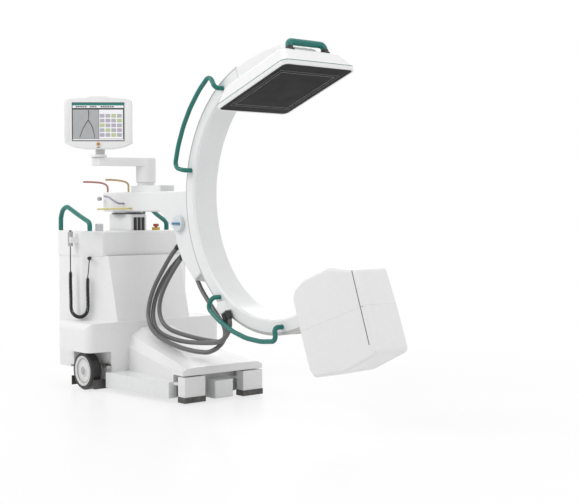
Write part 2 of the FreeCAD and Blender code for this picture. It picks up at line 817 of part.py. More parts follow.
def make_arm():
    housing = new_body("arm_housing")
    foot = d.arm_height - d.arm_half_height
    top = d.arm_height + d.arm_half_height
    length = d.arm_rear - d.arm_front
    front_view = rectangle(-d.arm_half_width, d.arm_half_width, foot, top)
    pad(housing, outline(housing, "YZ_Plane", front_view, offset=-d.arm_rear), length)
    rounded(housing, d.arm_edge, lambda edge: runs_along(edge, X_AXIS) or (
        middle_of(edge).x < -float(d.arm_rear) + 0.01))
    boss_foot = d.column_top + d.disc_height + d.gap
    boss = circle(housing, "XY_Plane", (-d.column_x, 0), d.disc_radius - 6, offset=boss_foot)
    pad(housing, boss, foot - boss_foot + 2)
    bore = circle(housing, "YZ_Plane", (0, d.arm_height), d.slide_radius + d.slip, offset=-d.arm_front)
    pocket(housing, bore, d.slide_rear - d.arm_front + d.bore_spare)
    pivot_top = d.column_top + d.disc_height + d.pivot_height + 1
    well = circle(housing, "XY_Plane", (-d.column_x, 0), d.pivot_radius + d.slip, offset=pivot_top)
    pocket(housing, well, 30)
    on_trolley(housing)

    slide = new_body("reach_slide")
    length = d.slide_rear - d.arm_front
    flange = d.carriage_front - d.arm_front
    pad(slide, circle(slide, "YZ_Plane", (0, d.arm_height), d.slide_radius, offset=-d.slide_rear), length)
    flange_start = -d.arm_front + d.gap
    flange_length = -flange - 2 * d.gap
    pad(slide, circle(slide, "YZ_Plane", (0, d.arm_height), d.slide_flange, offset=flange_start), flange_length)
    spigot_start = -d.arm_front
    spigot_end = -d.carriage_front + d.spigot_length - 2
    spigot = circle(slide, "YZ_Plane", (0, d.arm_height), d.spigot_radius, offset=spigot_start)
    pad(slide, spigot, spigot_end - spigot_start)
    on_trolley(slide)


def make_column():
    moving = new_body("lift_column")
    half_x, half_y = d.column_half_length, d.column_half_width
    x = -d.column_x
    section = rectangle(x - half_x, x + half_x, -half_y, half_y)
    height = d.column_top - d.column_foot
    pad(moving, outline(moving, "XY_Plane", section, offset=d.column_foot), height)
    rounded(moving, 12, lambda edge: runs_along(edge, Z_AXIS))
    wall = d.column_wall
    bore = rectangle(x - half_x + wall, x + half_x - wall, -half_y + wall, half_y - wall)
    pocket(moving, outline(moving, "XY_Plane", bore, offset=d.column_top - 30), height - 30)
    on_trolley(moving)

    fixed = new_body("outer_column")
    inner_x, inner_y = half_x + d.column_gap, half_y + d.column_gap
    outer_x, outer_y = inner_x + wall, inner_y + wall
    section = rectangle(x - outer_x, x + outer_x, -outer_y, outer_y)
    height = d.body_top - d.frame_rear_top
    pad(fixed, outline(fixed, "XY_Plane", section, offset=d.frame_rear_top), height)
    bore = rectangle(x - inner_x, x + inner_x, -inner_y, inner_y)
    pocket(fixed, outline(fixed, "XY_Plane", bore, offset=d.body_top), height)
    on_trolley(fixed)

    spindle = new_body("lift_spindle")
    foot = d.frame_rear_top
    pad(spindle, circle(spindle, "XY_Plane", (x, 0), 32, offset=foot), 9)
    pad(spindle, circle(spindle, "XY_Plane", (x, 0), d.spindle_radius, offset=foot), d.spindle_top - foot)
    on_trolley(spindle)

    disc = new_body("swivel_disc")
    pad(disc, circle(disc, "XY_Plane", (x, 0), d.disc_radius, offset=d.column_top), d.disc_height)
    pivot = circle(disc, "XY_Plane", (x, 0), d.pivot_radius, offset=d.column_top)
    pad(disc, pivot, d.disc_height + d.pivot_height)
    on_trolley(disc)


# Trolley

def make_trolley_body():
    shell = new_body("body_shell")
    wall = d.sheet_wall
    foot, top = d.base_top, d.body_top
    plan_foot = hexagon_nose(
        d.body_front_foot, d.body_front_half, d.body_side_front, d.body_half_width, d.body_rear)
    plan_top = hexagon_nose(
        d.body_front_top, d.body_front_half, d.body_side_front, d.body_half_width, d.body_rear)
    hollow_foot = hexagon_nose(
        d.body_front_foot + wall, d.body_front_half - wall, d.body_side_front + wall,
        d.body_half_width - wall, d.body_rear - wall)
    hollow_top = hexagon_nose(
        d.body_front_top + wall, d.body_front_half - wall, d.body_side_front + wall,
        d.body_half_width - wall, d.body_rear - wall)
    lower = outline(shell, "XY_Plane", plan_foot, offset=foot)
    upper = outline(shell, "XY_Plane", plan_top, offset=top)
    loft(shell, [lower, upper])
    lower = outline(shell, "XY_Plane", hollow_foot, offset=foot)
    upper = outline(shell, "XY_Plane", hollow_top, offset=top)
    loft(shell, [lower, upper], away=True)
    rear = -float(d.body_rear)
    step = float(wall) / 2
    rounded(shell, d.rear_round, lambda edge: (
        runs_along(edge, Z_AXIS) and middle_of(edge).x < rear + step))
    rounded(shell, d.rear_round - wall, lambda edge: (
        runs_along(edge, Z_AXIS) and abs(middle_of(edge).x - rear - 2 * step) < 0.01
        and abs(middle_of(edge).y) > float(d.body_half_width) - 3 * step))
    on_trolley(shell)

    head = new_body("head_shell")
    foot, top = d.body_top, d.head_top
    plan = hexagon_nose(
        d.head_front, d.head_front_half, d.head_side_front, d.head_half_width, d.body_rear)
    pad(head, outline(head, "XY_Plane", plan, offset=foot), top - foot)
    rounded(head, d.rear_round, lambda edge: (
        runs_along(edge, Z_AXIS) and middle_of(edge).x < -float(d.body_rear) + 1))
    rounded(head, d.head_edge, lambda edge: (
        abs(middle_of(edge).z - float(top)) < 0.01 or runs_along(edge, Z_AXIS)))
    half_x = d.column_half_length + 4
    half_y = d.column_half_width + 4
    slot = rectangle(-d.column_x - half_x, -d.column_x + half_x, -half_y, half_y)
    pocket(head, outline(head, "XY_Plane", slot, offset=top), top - foot)
    on_trolley(head)


def make_base():
    cover = new_body("base_cover")
    half, core = d.base_half_width, d.base_core_half
    foot = d.frame_rear_top
    front_view = [
        (-core, foot),
        (core, foot),
        (core, d.arch_height),
        (half, d.arch_height),
        (half, d.base_top),
        (-half, d.base_top),
        (-half, d.arch_height),
        (-core, d.arch_height),
    ]
    pad(cover, outline(cover, "YZ_Plane", front_view, offset=-d.base_rear), d.base_rear - d.base_front)
    top = float(d.base_top)

    def is_shoulder(edge):
        centre = middle_of(edge)
        outside = abs(abs(centre.y) - float(half)) < 0.01
        return outside and (centre.z > top - 0.01 or runs_along(edge, Z_AXIS))

    rounded(cover, d.base_edge, is_shoulder)
    tail = rectangle(-d.body_rear, -d.base_rear + 30, -d.body_half_width, d.body_half_width)
    tail_foot = 95
    pad(cover, outline(cover, "XY_Plane", tail, offset=tail_foot), d.base_top - tail_foot)
    notch = rectangle(-d.base_rear, -d.base_rear + 40, -core - 80, core + 80)
    pocket(cover, outline(cover, "XY_Plane", notch, offset=foot), 40)
    rounded(cover, d.rear_round, lambda edge: (
        runs_along(edge, Z_AXIS) and middle_of(edge).x < -float(d.body_rear) + 1))
    shaft = circle(cover, "XZ_Plane", (-d.pedal_x, d.pedal_height), d.pedal_shaft + d.slip, offset=core)
    pocket(cover, shaft, 22)
    gap = d.column_wall + d.column_gap + d.gap
    half_x, half_y = d.column_half_length + gap, d.column_half_width + gap
    well = rectangle(-d.column_x - half_x, -d.column_x + half_x, -half_y, half_y)
    pocket(cover, outline(cover, "XY_Plane", well, offset=d.base_top), d.base_top - foot + 60)
    on_trolley(cover)

    frame = new_body("chassis")
    legs = [
        (-d.base_front - 1, -d.leg_rear_half),
        (-d.frame_front, -d.leg_front_half),
        (-d.frame_front, d.leg_front_half),
        (-d.base_front - 1, d.leg_rear_half),
    ]
    pad(frame, outline(frame, "XY_Plane", legs, offset=d.frame_foot), d.frame_front_top - d.frame_foot)
    opening = [
        (-d.base_front + 60, -d.hood_half_rear + 30),
        (-d.frame_front - 110, -d.hood_half_front + 70),
        (-d.frame_front - 110, d.hood_half_front - 70),
        (-d.base_front + 60, d.hood_half_rear - 30),
    ]
    well_depth = d.frame_front_top - d.frame_foot - 12
    pocket(frame, outline(frame, "XY_Plane", opening, offset=d.frame_front_top - 12), well_depth)
    rear = rectangle(-d.base_rear + 4, -d.base_front, -core, core)
    pad(frame, outline(frame, "XY_Plane", rear, offset=d.frame_foot), d.frame_rear_top - d.frame_foot)
    half_axle = d.wheel_middle + d.wheel_half_width - 8
    axle = circle(frame, "XZ_Plane", (-d.wheel_x, d.wheel_radius), d.axle_radius)
    pad(frame, axle, 2 * half_axle, both_ways=True)
    ear_foot = 2 * d.caster_radius + 12
    for side in (-1, 1):
        room = circle(frame, "XY_Plane", caster_place(side), d.caster_radius + d.caster_trail + 6, offset=ear_foot)
        pocket(frame, room, ear_foot)
    for side in (-1, 1):
        x, y = caster_place(side)
        half = d.cover_half - 4
        ear = rectangle(-d.frame_front - 1, x + 40, y - half, y + half)
        pad(frame, outline(frame, "XY_Plane", ear, offset=ear_foot), d.frame_front_top - ear_foot)
    for side in (-1, 1):
        hole = circle(frame, "XY_Plane", (-d.caster_x, side * d.caster_y), 6 + d.slip, offset=d.frame_front_top)
        pocket(frame, hole, 30)
    bumper = rectangle(-d.frame_front - 1, -d.caster_x + d.cover_half, -d.bumper_half, d.bumper_half)
    pad(frame, outline(frame, "XY_Plane", bumper, offset=d.bumper_foot), d.frame_front_top - d.bumper_foot)
    front = -float(d.caster_x) + float(d.cover_half)
    rounded(frame, 8, lambda edge: (
        abs(middle_of(edge).x - front) < 0.01 and abs(middle_of(edge).y) < float(d.bumper_half) + 1))
    on_trolley(frame)

    make_foot_cover()


def make_foot_cover():
    """Crowned moulding over the legs; its front lip overhangs the caster covers."""
    hood = new_body("foot_cover")
    foot = d.frame_front_top
    shoulder = d.hood_shoulder
    rear_half, front_half = d.hood_half_rear, d.hood_half_front
    waist_half = rear_half + 36
    stations = [
        (-d.base_front, [(shoulder, d.hood_top), (rear_half - 20, d.hood_top - 36), (rear_half, d.hood_top - 92)]),
        (-d.hood_waist_x, [(shoulder, d.hood_waist_top), (waist_half - 36, d.hood_waist_top - 14),
                           (waist_half, d.hood_waist_top - 50)]),
        (-d.hood_front, [(front_half - 80, d.lip_top), (front_half - 24, d.lip_top - 3),
                         (front_half, d.lip_top - d.lip_drop)]),
    ]
    sections = []
    for x, crown in stations:
        right = [(-y, z) for y, z in crown]
        foot_half = crown[2][0]
        points = [(-foot_half, foot), (foot_half, foot)] + crown[::-1] + right
        sections.append(outline(hood, "YZ_Plane", points, offset=x))
    loft(hood, sections)
    under = rectangle(-d.frame_front - 6, -d.hood_front + 10, foot - 10, d.lip_foot)
    pocket(hood, outline(hood, "XZ_Plane", under), 3 * front_half, both_ways=True)
    on_trolley(hood)


def caster_place(side):
    return -d.caster_x, side * d.caster_y


def make_caster_covers():
    """Open boxes round both casters."""
    body = new_body("caster_covers")
    body.AllowCompound = True
    half = d.cover_half
    inner = half - 4
    height = d.cover_top - d.cover_foot
    for side in (-1, 1):
        x, y = caster_place(side)
        plan = rectangle(x + 4, x + half, y - half, y + half)
        pad(body, outline(body, "XY_Plane", plan, offset=d.cover_foot), height)
    for side in (-1, 1):
        x, y = caster_place(side)
        hollow = rectangle(x - 5, x + inner, y - inner, y + inner)
        pocket(body, outline(body, "XY_Plane", hollow, offset=d.cover_top - 6), d.cover_top)
    on_trolley(body)


def make_deflectors():
    """Black skirts just above the floor that push cables out of the wheels' way."""
    solids = []
    half = float(d.cover_half)
    low = 7
    height = float(d.cover_foot) - low
    for side in (-1, 1):
        x, y = (float(value) for value in map(size, caster_place(side)))
        outer = Part.makeBox(half + 2 - 4, 2 * half + 4, height, Vector(x + 4, y - half - 2, low))
        inner = Part.makeBox(half - 2 - 4, 2 * half - 4, height, Vector(x + 4, y - half + 2, low))
        solids.append(outer.cut(inner))
        start = float(d.base_core_half)
        reach = float(d.wheel_middle + d.wheel_half_width) - start
        for ahead in (-1, 1):
            plate_x = -float(d.wheel_x) + ahead * (float(d.wheel_radius) + 12) - 2
            plate_y = start if side > 0 else -start - reach
            solids.append(Part.makeBox(4, reach, 46, Vector(plate_x, plate_y, 14)))
    on_trolley(whole_solid("deflectors", Part.makeCompound(solids)))


# Wheels

def wheel_ring(label, profile, x, y, z):
    body = new_body(label)
    revolved(body, outline(body, "XY_Plane", profile))
    place(body, x=d.centre_x + x, y=y, z=z)
    return body


def make_rear_wheel(side, name):
    half, tread, rim = d.wheel_half_width, d.wheel_radius, d.rim_radius
    bore = d.axle_radius + d.slip
    cap = half - 3
    face = [(0, -cap + 4), (0, -cap), (24, -cap), (30, -cap + 6), (rim - 14, -cap + 6), (rim - 10, -cap),
            (rim - 2, -cap), (rim, -half), (tread - 7, -half), (tread, -half + 9)]
    back = [(tread, half - 9), (tread - 7, half), (rim, half), (rim - 2, cap), (bore, cap), (bore, -cap + 4)]
    profile = face + back
    if side > 0:
        profile = [(radius, -across) for radius, across in profile]
    wheel_ring(f"rear_wheel_{name}", profile, -d.wheel_x, side * d.wheel_middle, d.wheel_radius)


def make_caster(side, name):
    x, y = caster_place(side)
    half, radius = d.caster_half_width, d.caster_radius
    fork = new_body(f"caster_fork_{name}")
    crown = 2 * radius + 4
    pad(fork, circle(fork, "XY_Plane", (x, y), 26, offset=crown), 6)
    pad(fork, circle(fork, "XY_Plane", (x, y), 6, offset=crown), 30)
    for face in (-1, 1):
        cheek_low = y + face * (half + 1) + (face - 1) * 1.5
        cheek = [
            (x - d.caster_trail - 9, radius - 9),
            (x - d.caster_trail + 9, radius - 9),
            (x + 14, crown + 1),
            (x - 20, crown + 1),
        ]
        pad(fork, outline(fork, "XZ_Plane", cheek, offset=-cheek_low - 3), 3)
    hole = circle(fork, "XZ_Plane", (x - d.caster_trail, radius), d.caster_axle, offset=-y)
    pad(fork, hole, 2 * (half + 4), both_ways=True)
    on_trolley(fork)
    bore = d.caster_axle + d.slip
    profile = [(bore, -half), (radius - 4, -half), (radius, -half + 4), (radius, half - 4),
               (radius - 4, half), (bore, half)]
    wheel_ring(f"caster_wheel_{name}", profile, x - d.caster_trail, y, radius)


# Monitor

def boom_end():
    turn = math.radians(float(d.boom_azimuth))
    reach = d.boom_reach
    x = Size(f"({reach.text} * cos({d.boom_azimuth.text} * 1 deg))", reach.number * math.cos(turn))
    y = Size(f"(0 - {reach.text} * sin({d.boom_azimuth.text} * 1 deg))", -reach.number * math.sin(turn))
    return x - d.post_x + d.centre_x, y


def make_monitor():
    post = new_body("monitor_post")
    top = d.arm_height + d.arm_half_height
    plate = rectangle(-d.post_x - 78, -d.arm_front - 8, -46, 46)
    pad(post, outline(post, "XY_Plane", plate, offset=top), d.post_plate_top - top)
    rounded(post, 12, lambda edge: runs_along(edge, Z_AXIS))
    pad(post, circle(post, "XY_Plane", (-d.post_x, 0), d.post_radius - 6, offset=top), d.boom_foot - top - d.gap)
    pad(post, circle(post, "XY_Plane", (-d.post_x, 0), 16, offset=top), d.boom_foot - top + 50)
    on_trolley(post)

    boom = new_body("monitor_boom")
    pad(boom, circle(boom, "XY_Plane", (0, 0), d.post_radius, offset=d.boom_foot), d.boom_top - d.boom_foot)
    bar = [
        (0, -d.post_radius + 2),
        (d.boom_reach, -d.stem_radius + 8),
        (d.boom_reach + 34, -14),
        (d.boom_reach + 34, 14),
        (d.boom_reach, d.stem_radius - 8),
        (0, d.post_radius - 2),
    ]
    pad(boom, outline(boom, "XY_Plane", bar, offset=d.boom_bar_foot), d.boom_top - d.boom_bar_foot)
    rounded(boom, 6, lambda edge: abs(middle_of(edge).z - float(d.boom_top)) < 0.01)
    pocket(boom, circle(boom, "XY_Plane", (0, 0), 16 + d.slip, offset=d.boom_foot + 52), 60)
    place(boom, x=d.centre_x - d.post_x, axis=Z_AXIS, angle=-d.boom_azimuth)
    well = circle(boom, "XY_Plane", (d.boom_reach, 0), 12 + d.slip, offset=d.boom_top)
    pocket(boom, well, 26)

    end_x, end_y = boom_end()
    neck = new_body("monitor_neck")
    foot = d.boom_top + d.gap
    pad(neck, circle(neck, "XY_Plane", (0, 0), d.stem_radius, offset=foot), 12)
    pad(neck, circle(neck, "XY_Plane", (0, 0), 12, offset=foot - 25), 30)
    back = -d.hinge_back
    riser = [
        (back - 12, foot + 2),
        (12, foot + 2),
        (12, foot + 12),
        (back + 12, foot + 17),
        (back + 12, d.hinge_height + 4),
        (back - 12, d.hinge_height + 4),
    ]
    pad(neck, outline(neck, "XZ_Plane", riser), 46, both_ways=True)
    pin = circle(neck, "XZ_Plane", (back, d.hinge_height), d.hinge_radius)
    pad(neck, pin, 92, both_ways=True)
    place(neck, x=end_x, y=end_y, axis=Z_AXIS, angle=-d.screen_turn)

    frame = new_body("monitor_housing")
    half, low, high = d.monitor_half_width, d.monitor_foot, d.monitor_top
    shape = [
        (-half, low + 26),
        (-half + 44, low + 6),
        (-70, low - 4),
        (70, low - 4),
        (half - 44, low + 6),
        (half, low + 26),
        (half, high - 18),
        (half - 30, high - 6),
        (60, high),
        (36, high + 7),
        (-36, high + 7),
        (-60, high),
        (-half + 30, high - 6),
        (-half, high - 18),
    ]
    front = -d.hinge_back + 66
    pad(frame, outline(frame, "YZ_Plane", shape, offset=front - d.monitor_depth), d.monitor_depth)
    rounded(frame, 12, lambda edge: runs_along(edge, X_AXIS) and abs(middle_of(edge).y) > 150)
    rounded(frame, 5, lambda edge: abs(middle_of(edge).x - float(front)) < 0.01)
    rounded(frame, 8, lambda edge: abs(middle_of(edge).x - float(front - d.monitor_depth)) < 0.01)
    glass = rectangle(-d.screen_half_width, d.screen_half_width, d.screen_foot, d.screen_top)
    pocket(frame, outline(frame, "YZ_Plane", glass, offset=front), d.glass_thickness)
    rear = front - d.monitor_depth
    for side in (-1, 1):
        ear = [
            (back - 13, d.hinge_height - 13),
            (rear + 6, d.hinge_height - 13),
            (rear + 6, d.hinge_height + 30),
            (back - 13, d.hinge_height + 13),
        ]
        pad(frame, outline(frame, "XZ_Plane", ear, offset=side * 35 - 9), 18)
    hole = circle(frame, "XZ_Plane", (back, d.hinge_height), d.hinge_radius + d.slip)
    pocket(frame, hole, 100, both_ways=True)
    place(frame, x=end_x, y=end_y, axis=Z_AXIS, angle=-d.screen_turn)

    pane = new_body("screen")
    inset = d.gap
    glass = rectangle(-d.screen_half_width + inset, d.screen_half_width - inset,
                      d.screen_foot + inset, d.screen_top - inset)
    thick = d.glass_thickness
    pad(pane, outline(pane, "YZ_Plane", glass, offset=front - thick), thick)
    place(pane, x=end_x, y=end_y, axis=Z_AXIS, angle=-d.screen_turn)


# Handles, levers and buttons

def make_push_bow(label, side_y, rear, front):
    top = d.head_top
    points = [
        spot(-rear, side_y, top),
        spot(-rear, side_y, top + 62),
        spot(-rear + 18, side_y, top + 104),
        spot(-rear + 64, side_y, top + 124),
        spot(-rear + (rear - front) * 0.62, side_y, top + 80),
        spot(-front, side_y, top + 42),
        spot(-front, side_y, top),
    ]
    on_trolley(whole_solid(label, rod(points, d.push_bow_radius, bend=60)))


def make_levers():
    roof = d.arm_height + d.arm_half_height
    side = -d.arm_half_width
    post = -d.column_x
    red = [
        spot(post - 142, side + 21, roof),
        spot(post - 142, side + 21, roof + 36),
        spot(post - 160, side - 5, roof + 50),
        spot(post - 190, side - 49, roof + 54),
        spot(post - 204, side - 91, roof + 54),
    ]
    on_trolley(whole_solid("lever_red", rod(red, d.lever_radius)))
    tan_lever = [
        spot(post + 62, side + 21, roof),
        spot(post + 62, side + 21, roof + 44),
        spot(post + 46, side - 3, roof + 56),
        spot(post + 20, side - 41, roof + 62),
        spot(post + 2, side - 81, roof + 62),
    ]
    on_trolley(whole_solid("lever_tan", rod(tan_lever, d.lever_radius)))
    middle = d.arm_height
    violet = [
        spot(post + 52, side, middle - 9),
        spot(post + 52, side - 36, middle - 9),
        spot(post + 20, side - 46, middle + 7),
        spot(post - 22, side - 46, middle + 25),
        spot(post - 66, side - 46, middle + 29),
    ]
    on_trolley(whole_solid("lever_violet", rod(violet, d.lever_radius)))
    yellow = [
        spot(post + 124, side, middle - 35),
        spot(post + 124, side - 31, middle - 35),
        spot(post + 82, side - 37, middle - 35),
        spot(post - 148, side - 37, middle - 39),
    ]
    on_trolley(whole_solid("lever_yellow", rod(yellow, d.lever_radius)))


def make_emergency_stop():
    base = new_body("stop_base")
    x, y = -1146, 112
    pad(base, circle(base, "XY_Plane", (x, y), 21, offset=d.head_top), 14)
    pocket(base, circle(base, "XY_Plane", (x, y), 8 + d.slip, offset=d.head_top + 14), 12)
    on_trolley(base)
    knob = new_body("stop_button")
    foot = d.head_top + 14 + 5
    pad(knob, circle(knob, "XY_Plane", (x, y), d.stop_radius, offset=foot), d.stop_height - 8)
    rounded(knob, 5, lambda edge: abs(middle_of(edge).z - float(foot + d.stop_height - 8)) < 0.01)
    pad(knob, circle(knob, "XY_Plane", (x, y), 8, offset=foot - 9), 10)
    on_trolley(knob)


def make_key_switch():
    body = new_body("key_switch")
    pad(body, outline(body, "XY_Plane", rectangle(-1162, -1130, -246, -214), offset=d.head_top), 36)
    rounded(body, 5, lambda edge: edge.BoundBox.ZLength > 30 or middle_of(edge).z > float(d.head_top) + 35)
    on_trolley(body)


def make_brake_pedal():
    body = new_body("brake_pedal")
    x, z = -d.pedal_x, d.pedal_height
    side = -d.base_core_half
    pad(body, circle(body, "XZ_Plane", (x, z), d.pedal_shaft, offset=-side - 20), 42)
    arm = [(x - 6, z - 6), (x + 4, z - 8), (x + 92, z - 22), (x + 92, z - 10), (x, z + 6)]
    pad(body, outline(body, "XZ_Plane", arm, offset=-side + 6), 10)
    tread = [(x + 52, z - 16), (x + 92, z - 22), (x + 92, z - 8), (x + 52, z - 2)]
    pad(body, outline(body, "XZ_Plane", tread, offset=-side + d.gap), 30)
    on_trolley(body)


# Hand switch and its curly cord

SWITCH_X = -1215
SWITCH_Y = -356


def make_hand_switch():
    grip = new_body("hand_switch")
    foot = d.body_top + 48
    length = 74
    pad(grip, circle(grip, "XY_Plane", (SWITCH_X, SWITCH_Y), d.switch_radius, offset=foot), length)
    rounded(grip, 4, lambda edge: len(edge.Vertexes) == 1)
    pocket(grip, circle(grip, "XY_Plane", (SWITCH_X, SWITCH_Y), 6 + d.slip, offset=foot + length), 10)
    on_trolley(grip)
    button = new_body("switch_button")
    pad(button, circle(button, "XY_Plane", (SWITCH_X, SWITCH_Y), 6, offset=foot + length - 5), 12)
    on_trolley(button)

    holder = new_body("switch_holder")
    side = -d.head_half_width
    reach = rectangle(SWITCH_X - 20, SWITCH_X + 20, SWITCH_Y + 4, side)
    pad(holder, outline(holder, "XY_Plane", reach, offset=foot + 18), 30)
    claw = rectangle(SWITCH_X - 20, SWITCH_X + 20, SWITCH_Y - 10, SWITCH_Y + 5)
    pad(holder, outline(holder, "XY_Plane", claw, offset=foot + 18), 30)
    seat = circle(holder, "XY_Plane", (SWITCH_X, SWITCH_Y), d.switch_radius + d.slip, offset=foot + 60)
    pocket(holder, seat, 60)
    on_trolley(holder)


def make_curly_cord():
    """Hand switch lead, hanging loop of curly cord and the lead up to its gland."""
    switch_end = spot(SWITCH_X, SWITCH_Y, d.body_top + 48)
    coil_start = spot(SWITCH_X, SWITCH_Y, d.body_top - 76)
    gland_end = spot(-1128, -299, d.body_top - 20)
    coil_end = spot(-1126, -310, d.body_top - 104)
    loop = [
        coil_start,
        spot(-1216, -357, d.body_top - 118),
        spot(-1214, -357, d.body_top - 166),
        spot(-1213, -356, d.body_top - 216),
        spot(-1215, -356, d.body_top - 268),
        spot(-1203, -350, d.body_top - 293),
        spot(-1182, -339, d.body_top - 306),
        spot(-1159, -327, d.body_top - 306),
        spot(-1138, -316, d.body_top - 293),
        spot(-1126, -310, d.body_top - 268),
        spot(-1125, -310, d.body_top - 218),
        spot(-1127, -311, d.body_top - 162),
        coil_end,
    ]
    on_trolley(whole_solid("curly_cord", rod(loop, d.coil_radius)))
    lead = [
        switch_end,
        spot(SWITCH_X + 1, SWITCH_Y - 1, d.body_top + 6),
        spot(SWITCH_X - 1, SWITCH_Y, d.body_top - 36),
        coil_start,
    ]
    on_trolley(whole_solid("switch_lead", rod(lead, d.lead_radius)))
    lead = [coil_end, spot(-1125, -306, d.body_top - 74), spot(-1124, -304, d.body_top - 44), gland_end]
    on_trolley(whole_solid("gland_lead", rod(lead, d.lead_radius)))
    for name, points in (("curly cord", loop), ("gland lead", lead)):
        radii = [round(bend_radius(points, index)) for index in range(1, len(points) - 1)]
        print(name, "bend radii in mm:", radii)


def make_cord_gland():
    """Short tapered outlet on the body's slanted corner."""
    inward = Vector(-0.74, 0.67, 0)
    outlet = Vector(-1128, -299, 644)
    middle = outlet + Vector(0, 0, 10) - inward * 10
    gland = Part.makeCylinder(8, 36, middle, inward)
    gland = gland.fuse(Part.makeCylinder(5.5, 10, outlet, Z_AXIS))
    on_trolley(whole_solid("cord_gland", gland))


# Grey hoses between carriage and C

HOSE_ROUTES = {
    "hose_loop": [
        (-729, -22, 730), (-766, -24, 706), (-812, -32, 658), (-857, -48, 587), (-896, -68, 512),
        (-912, -88, 427), (-897, -104, 352), (-829, -120, 298), (-724, -130, 267),
        (-600, -134, 246), (-500, -126, 236), (-441, -116, 233.5), (-396.2, -101, 234),
        (-361.5, -78, 252.8), (-339.9, -54, 285.9), (-336.6, -44, 325.3), (-352.6, -42, 361.5),
        (-409, -40, 406), (-489, -32, 465), (-566, -20, 521), (-624, -8, 580), (-657, 0, 646),
    ],
    "hose_outer": [
        (-715, 14, 705), (-752, 15, 685), (-796, 10, 650), (-846, -6, 600), (-884, -28, 534),
        (-905, -52, 460), (-903, -72, 386), (-870, -86, 326), (-800, -96, 290), (-690, -104, 274),
        (-566, -112, 270), (-452, -114, 275), (-370, -112, 282), (-306.3, -108, 289.5),
        (-267, -99, 312.2), (-244.1, -91, 351.5), (-244, -88, 397), (-265.8, -88, 435.2),
    ],
    "hose_inner": [
        (-701, -14, 682), (-732, -14, 663), (-776, -20, 616), (-822, -34, 550), (-856, -50, 478),
        (-866, -60, 406), (-838, -66, 350), (-770, -70, 312), (-642, -76, 297), (-510, -80, 289),
        (-402, -82, 287), (-326.4, -83, 287.5), (-290.2, -85, 308.3), (-269.3, -88, 344.4),
        (-269.2, -88, 386.1), (-289.5, -88, 421.7),
    ],
}


def make_hoses():
    for label, route in HOSE_ROUTES.items():
        points = [spot(*place_on_route) for place_on_route in route]
        radii = [round(bend_radius(points, index)) for index in range(1, len(points) - 1)]
        print(label, "bend radii in mm:", radii)
        on_trolley(whole_solid(label, rod(points, d.hose_radius)))


def make_hose_clamp():
    """The block on the C's side that takes the hoses' other ends."""
    body = new_body("hose_clamp")
    side = d.arc_half_width
    inner = d.arc_radius + d.clamp_inset
    outer = inner + d.clamp_depth
    points = [polar(outer + 11, 222), polar(outer, 218.4), polar(inner, 218.4), polar(inner + 11, 224.7)]
    pad(body, outline(body, "XZ_Plane", points, offset=side), 34)
    rounded(body, 5, lambda edge: runs_along(edge, Y_AXIS))
    on_arc(body)


make_c_arc()
make_guide_rail()
make_grab_bar("grab_bar_upper", size(149), size(104), d.arc_radius + 32, 36)
make_grab_bar("grab_bar_lower", size(214.5), size(261), d.arc_radius + 34, 24)
make_detector()
make_fairing()
make_detector_handle()
make_generator()
make_carriage()
make_carriage_knob()
make_hose_clamp()
make_arm()
make_column()
make_trolley_body()
make_base()
make_caster_covers()
make_deflectors()
make_rear_wheel(-1, "right")
make_rear_wheel(1, "left")
make_caster(-1, "right")
make_caster(1, "left")
make_monitor()
make_push_bow("push_bow_right", d.bow_inset - d.head_half_width, d.body_rear - 17, d.head_front + 24)
make_push_bow("push_bow_left", d.left_bow_y, d.body_rear - 27, d.head_side_front - 17)
make_levers()
make_emergency_stop()
make_key_switch()
make_brake_pedal()
make_hand_switch()
make_curly_cord()
make_cord_gland()
make_hoses()

doc.recompute()
faults = []
for thing in doc.Objects:
    if "Invalid" in thing.State or "Error" in thing.State:
        faults.append(f"{thing.Name}: {thing.State}")
for thing in sub_parts:
    if thing.Shape.isNull() or not thing.Shape.isValid():
        faults.append(f"{thing.Label}: no valid shape")
if faults:
    raise RuntimeError("; ".join(faults))

os.makedirs("parts", exist_ok=True)
for thing in sub_parts:
    thing.Shape.exportStep(f"parts/{thing.Label}.step")
print(len(sub_parts), "sub-parts")
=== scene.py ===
import json
import math

import bmesh
import bpy
from bpy.props import FloatProperty, FloatVectorProperty, PointerProperty
from bpy.types import Operator, Panel, PropertyGroup
from mathutils import Matrix, Vector


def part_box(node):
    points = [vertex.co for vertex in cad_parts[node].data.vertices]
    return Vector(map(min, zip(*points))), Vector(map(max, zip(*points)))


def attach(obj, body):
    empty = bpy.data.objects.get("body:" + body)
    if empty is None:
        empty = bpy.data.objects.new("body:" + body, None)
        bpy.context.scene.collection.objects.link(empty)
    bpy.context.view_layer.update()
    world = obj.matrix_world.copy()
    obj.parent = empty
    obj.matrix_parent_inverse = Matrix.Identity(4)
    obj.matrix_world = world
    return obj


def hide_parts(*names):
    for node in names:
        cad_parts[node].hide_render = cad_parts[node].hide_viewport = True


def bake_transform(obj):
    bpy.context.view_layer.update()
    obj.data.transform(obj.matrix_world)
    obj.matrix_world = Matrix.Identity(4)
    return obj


bl_info = {
    "name": "Mobile C-arm looks",
    "version": (1, 0, 0),
    "blender": (4, 5, 0),
    "location": "3D View > Sidebar > C-arm",
    "description": "Finishes, hoses, lead, trims and studio for a mobile x-ray C-arm",
    "category": "Object",
}

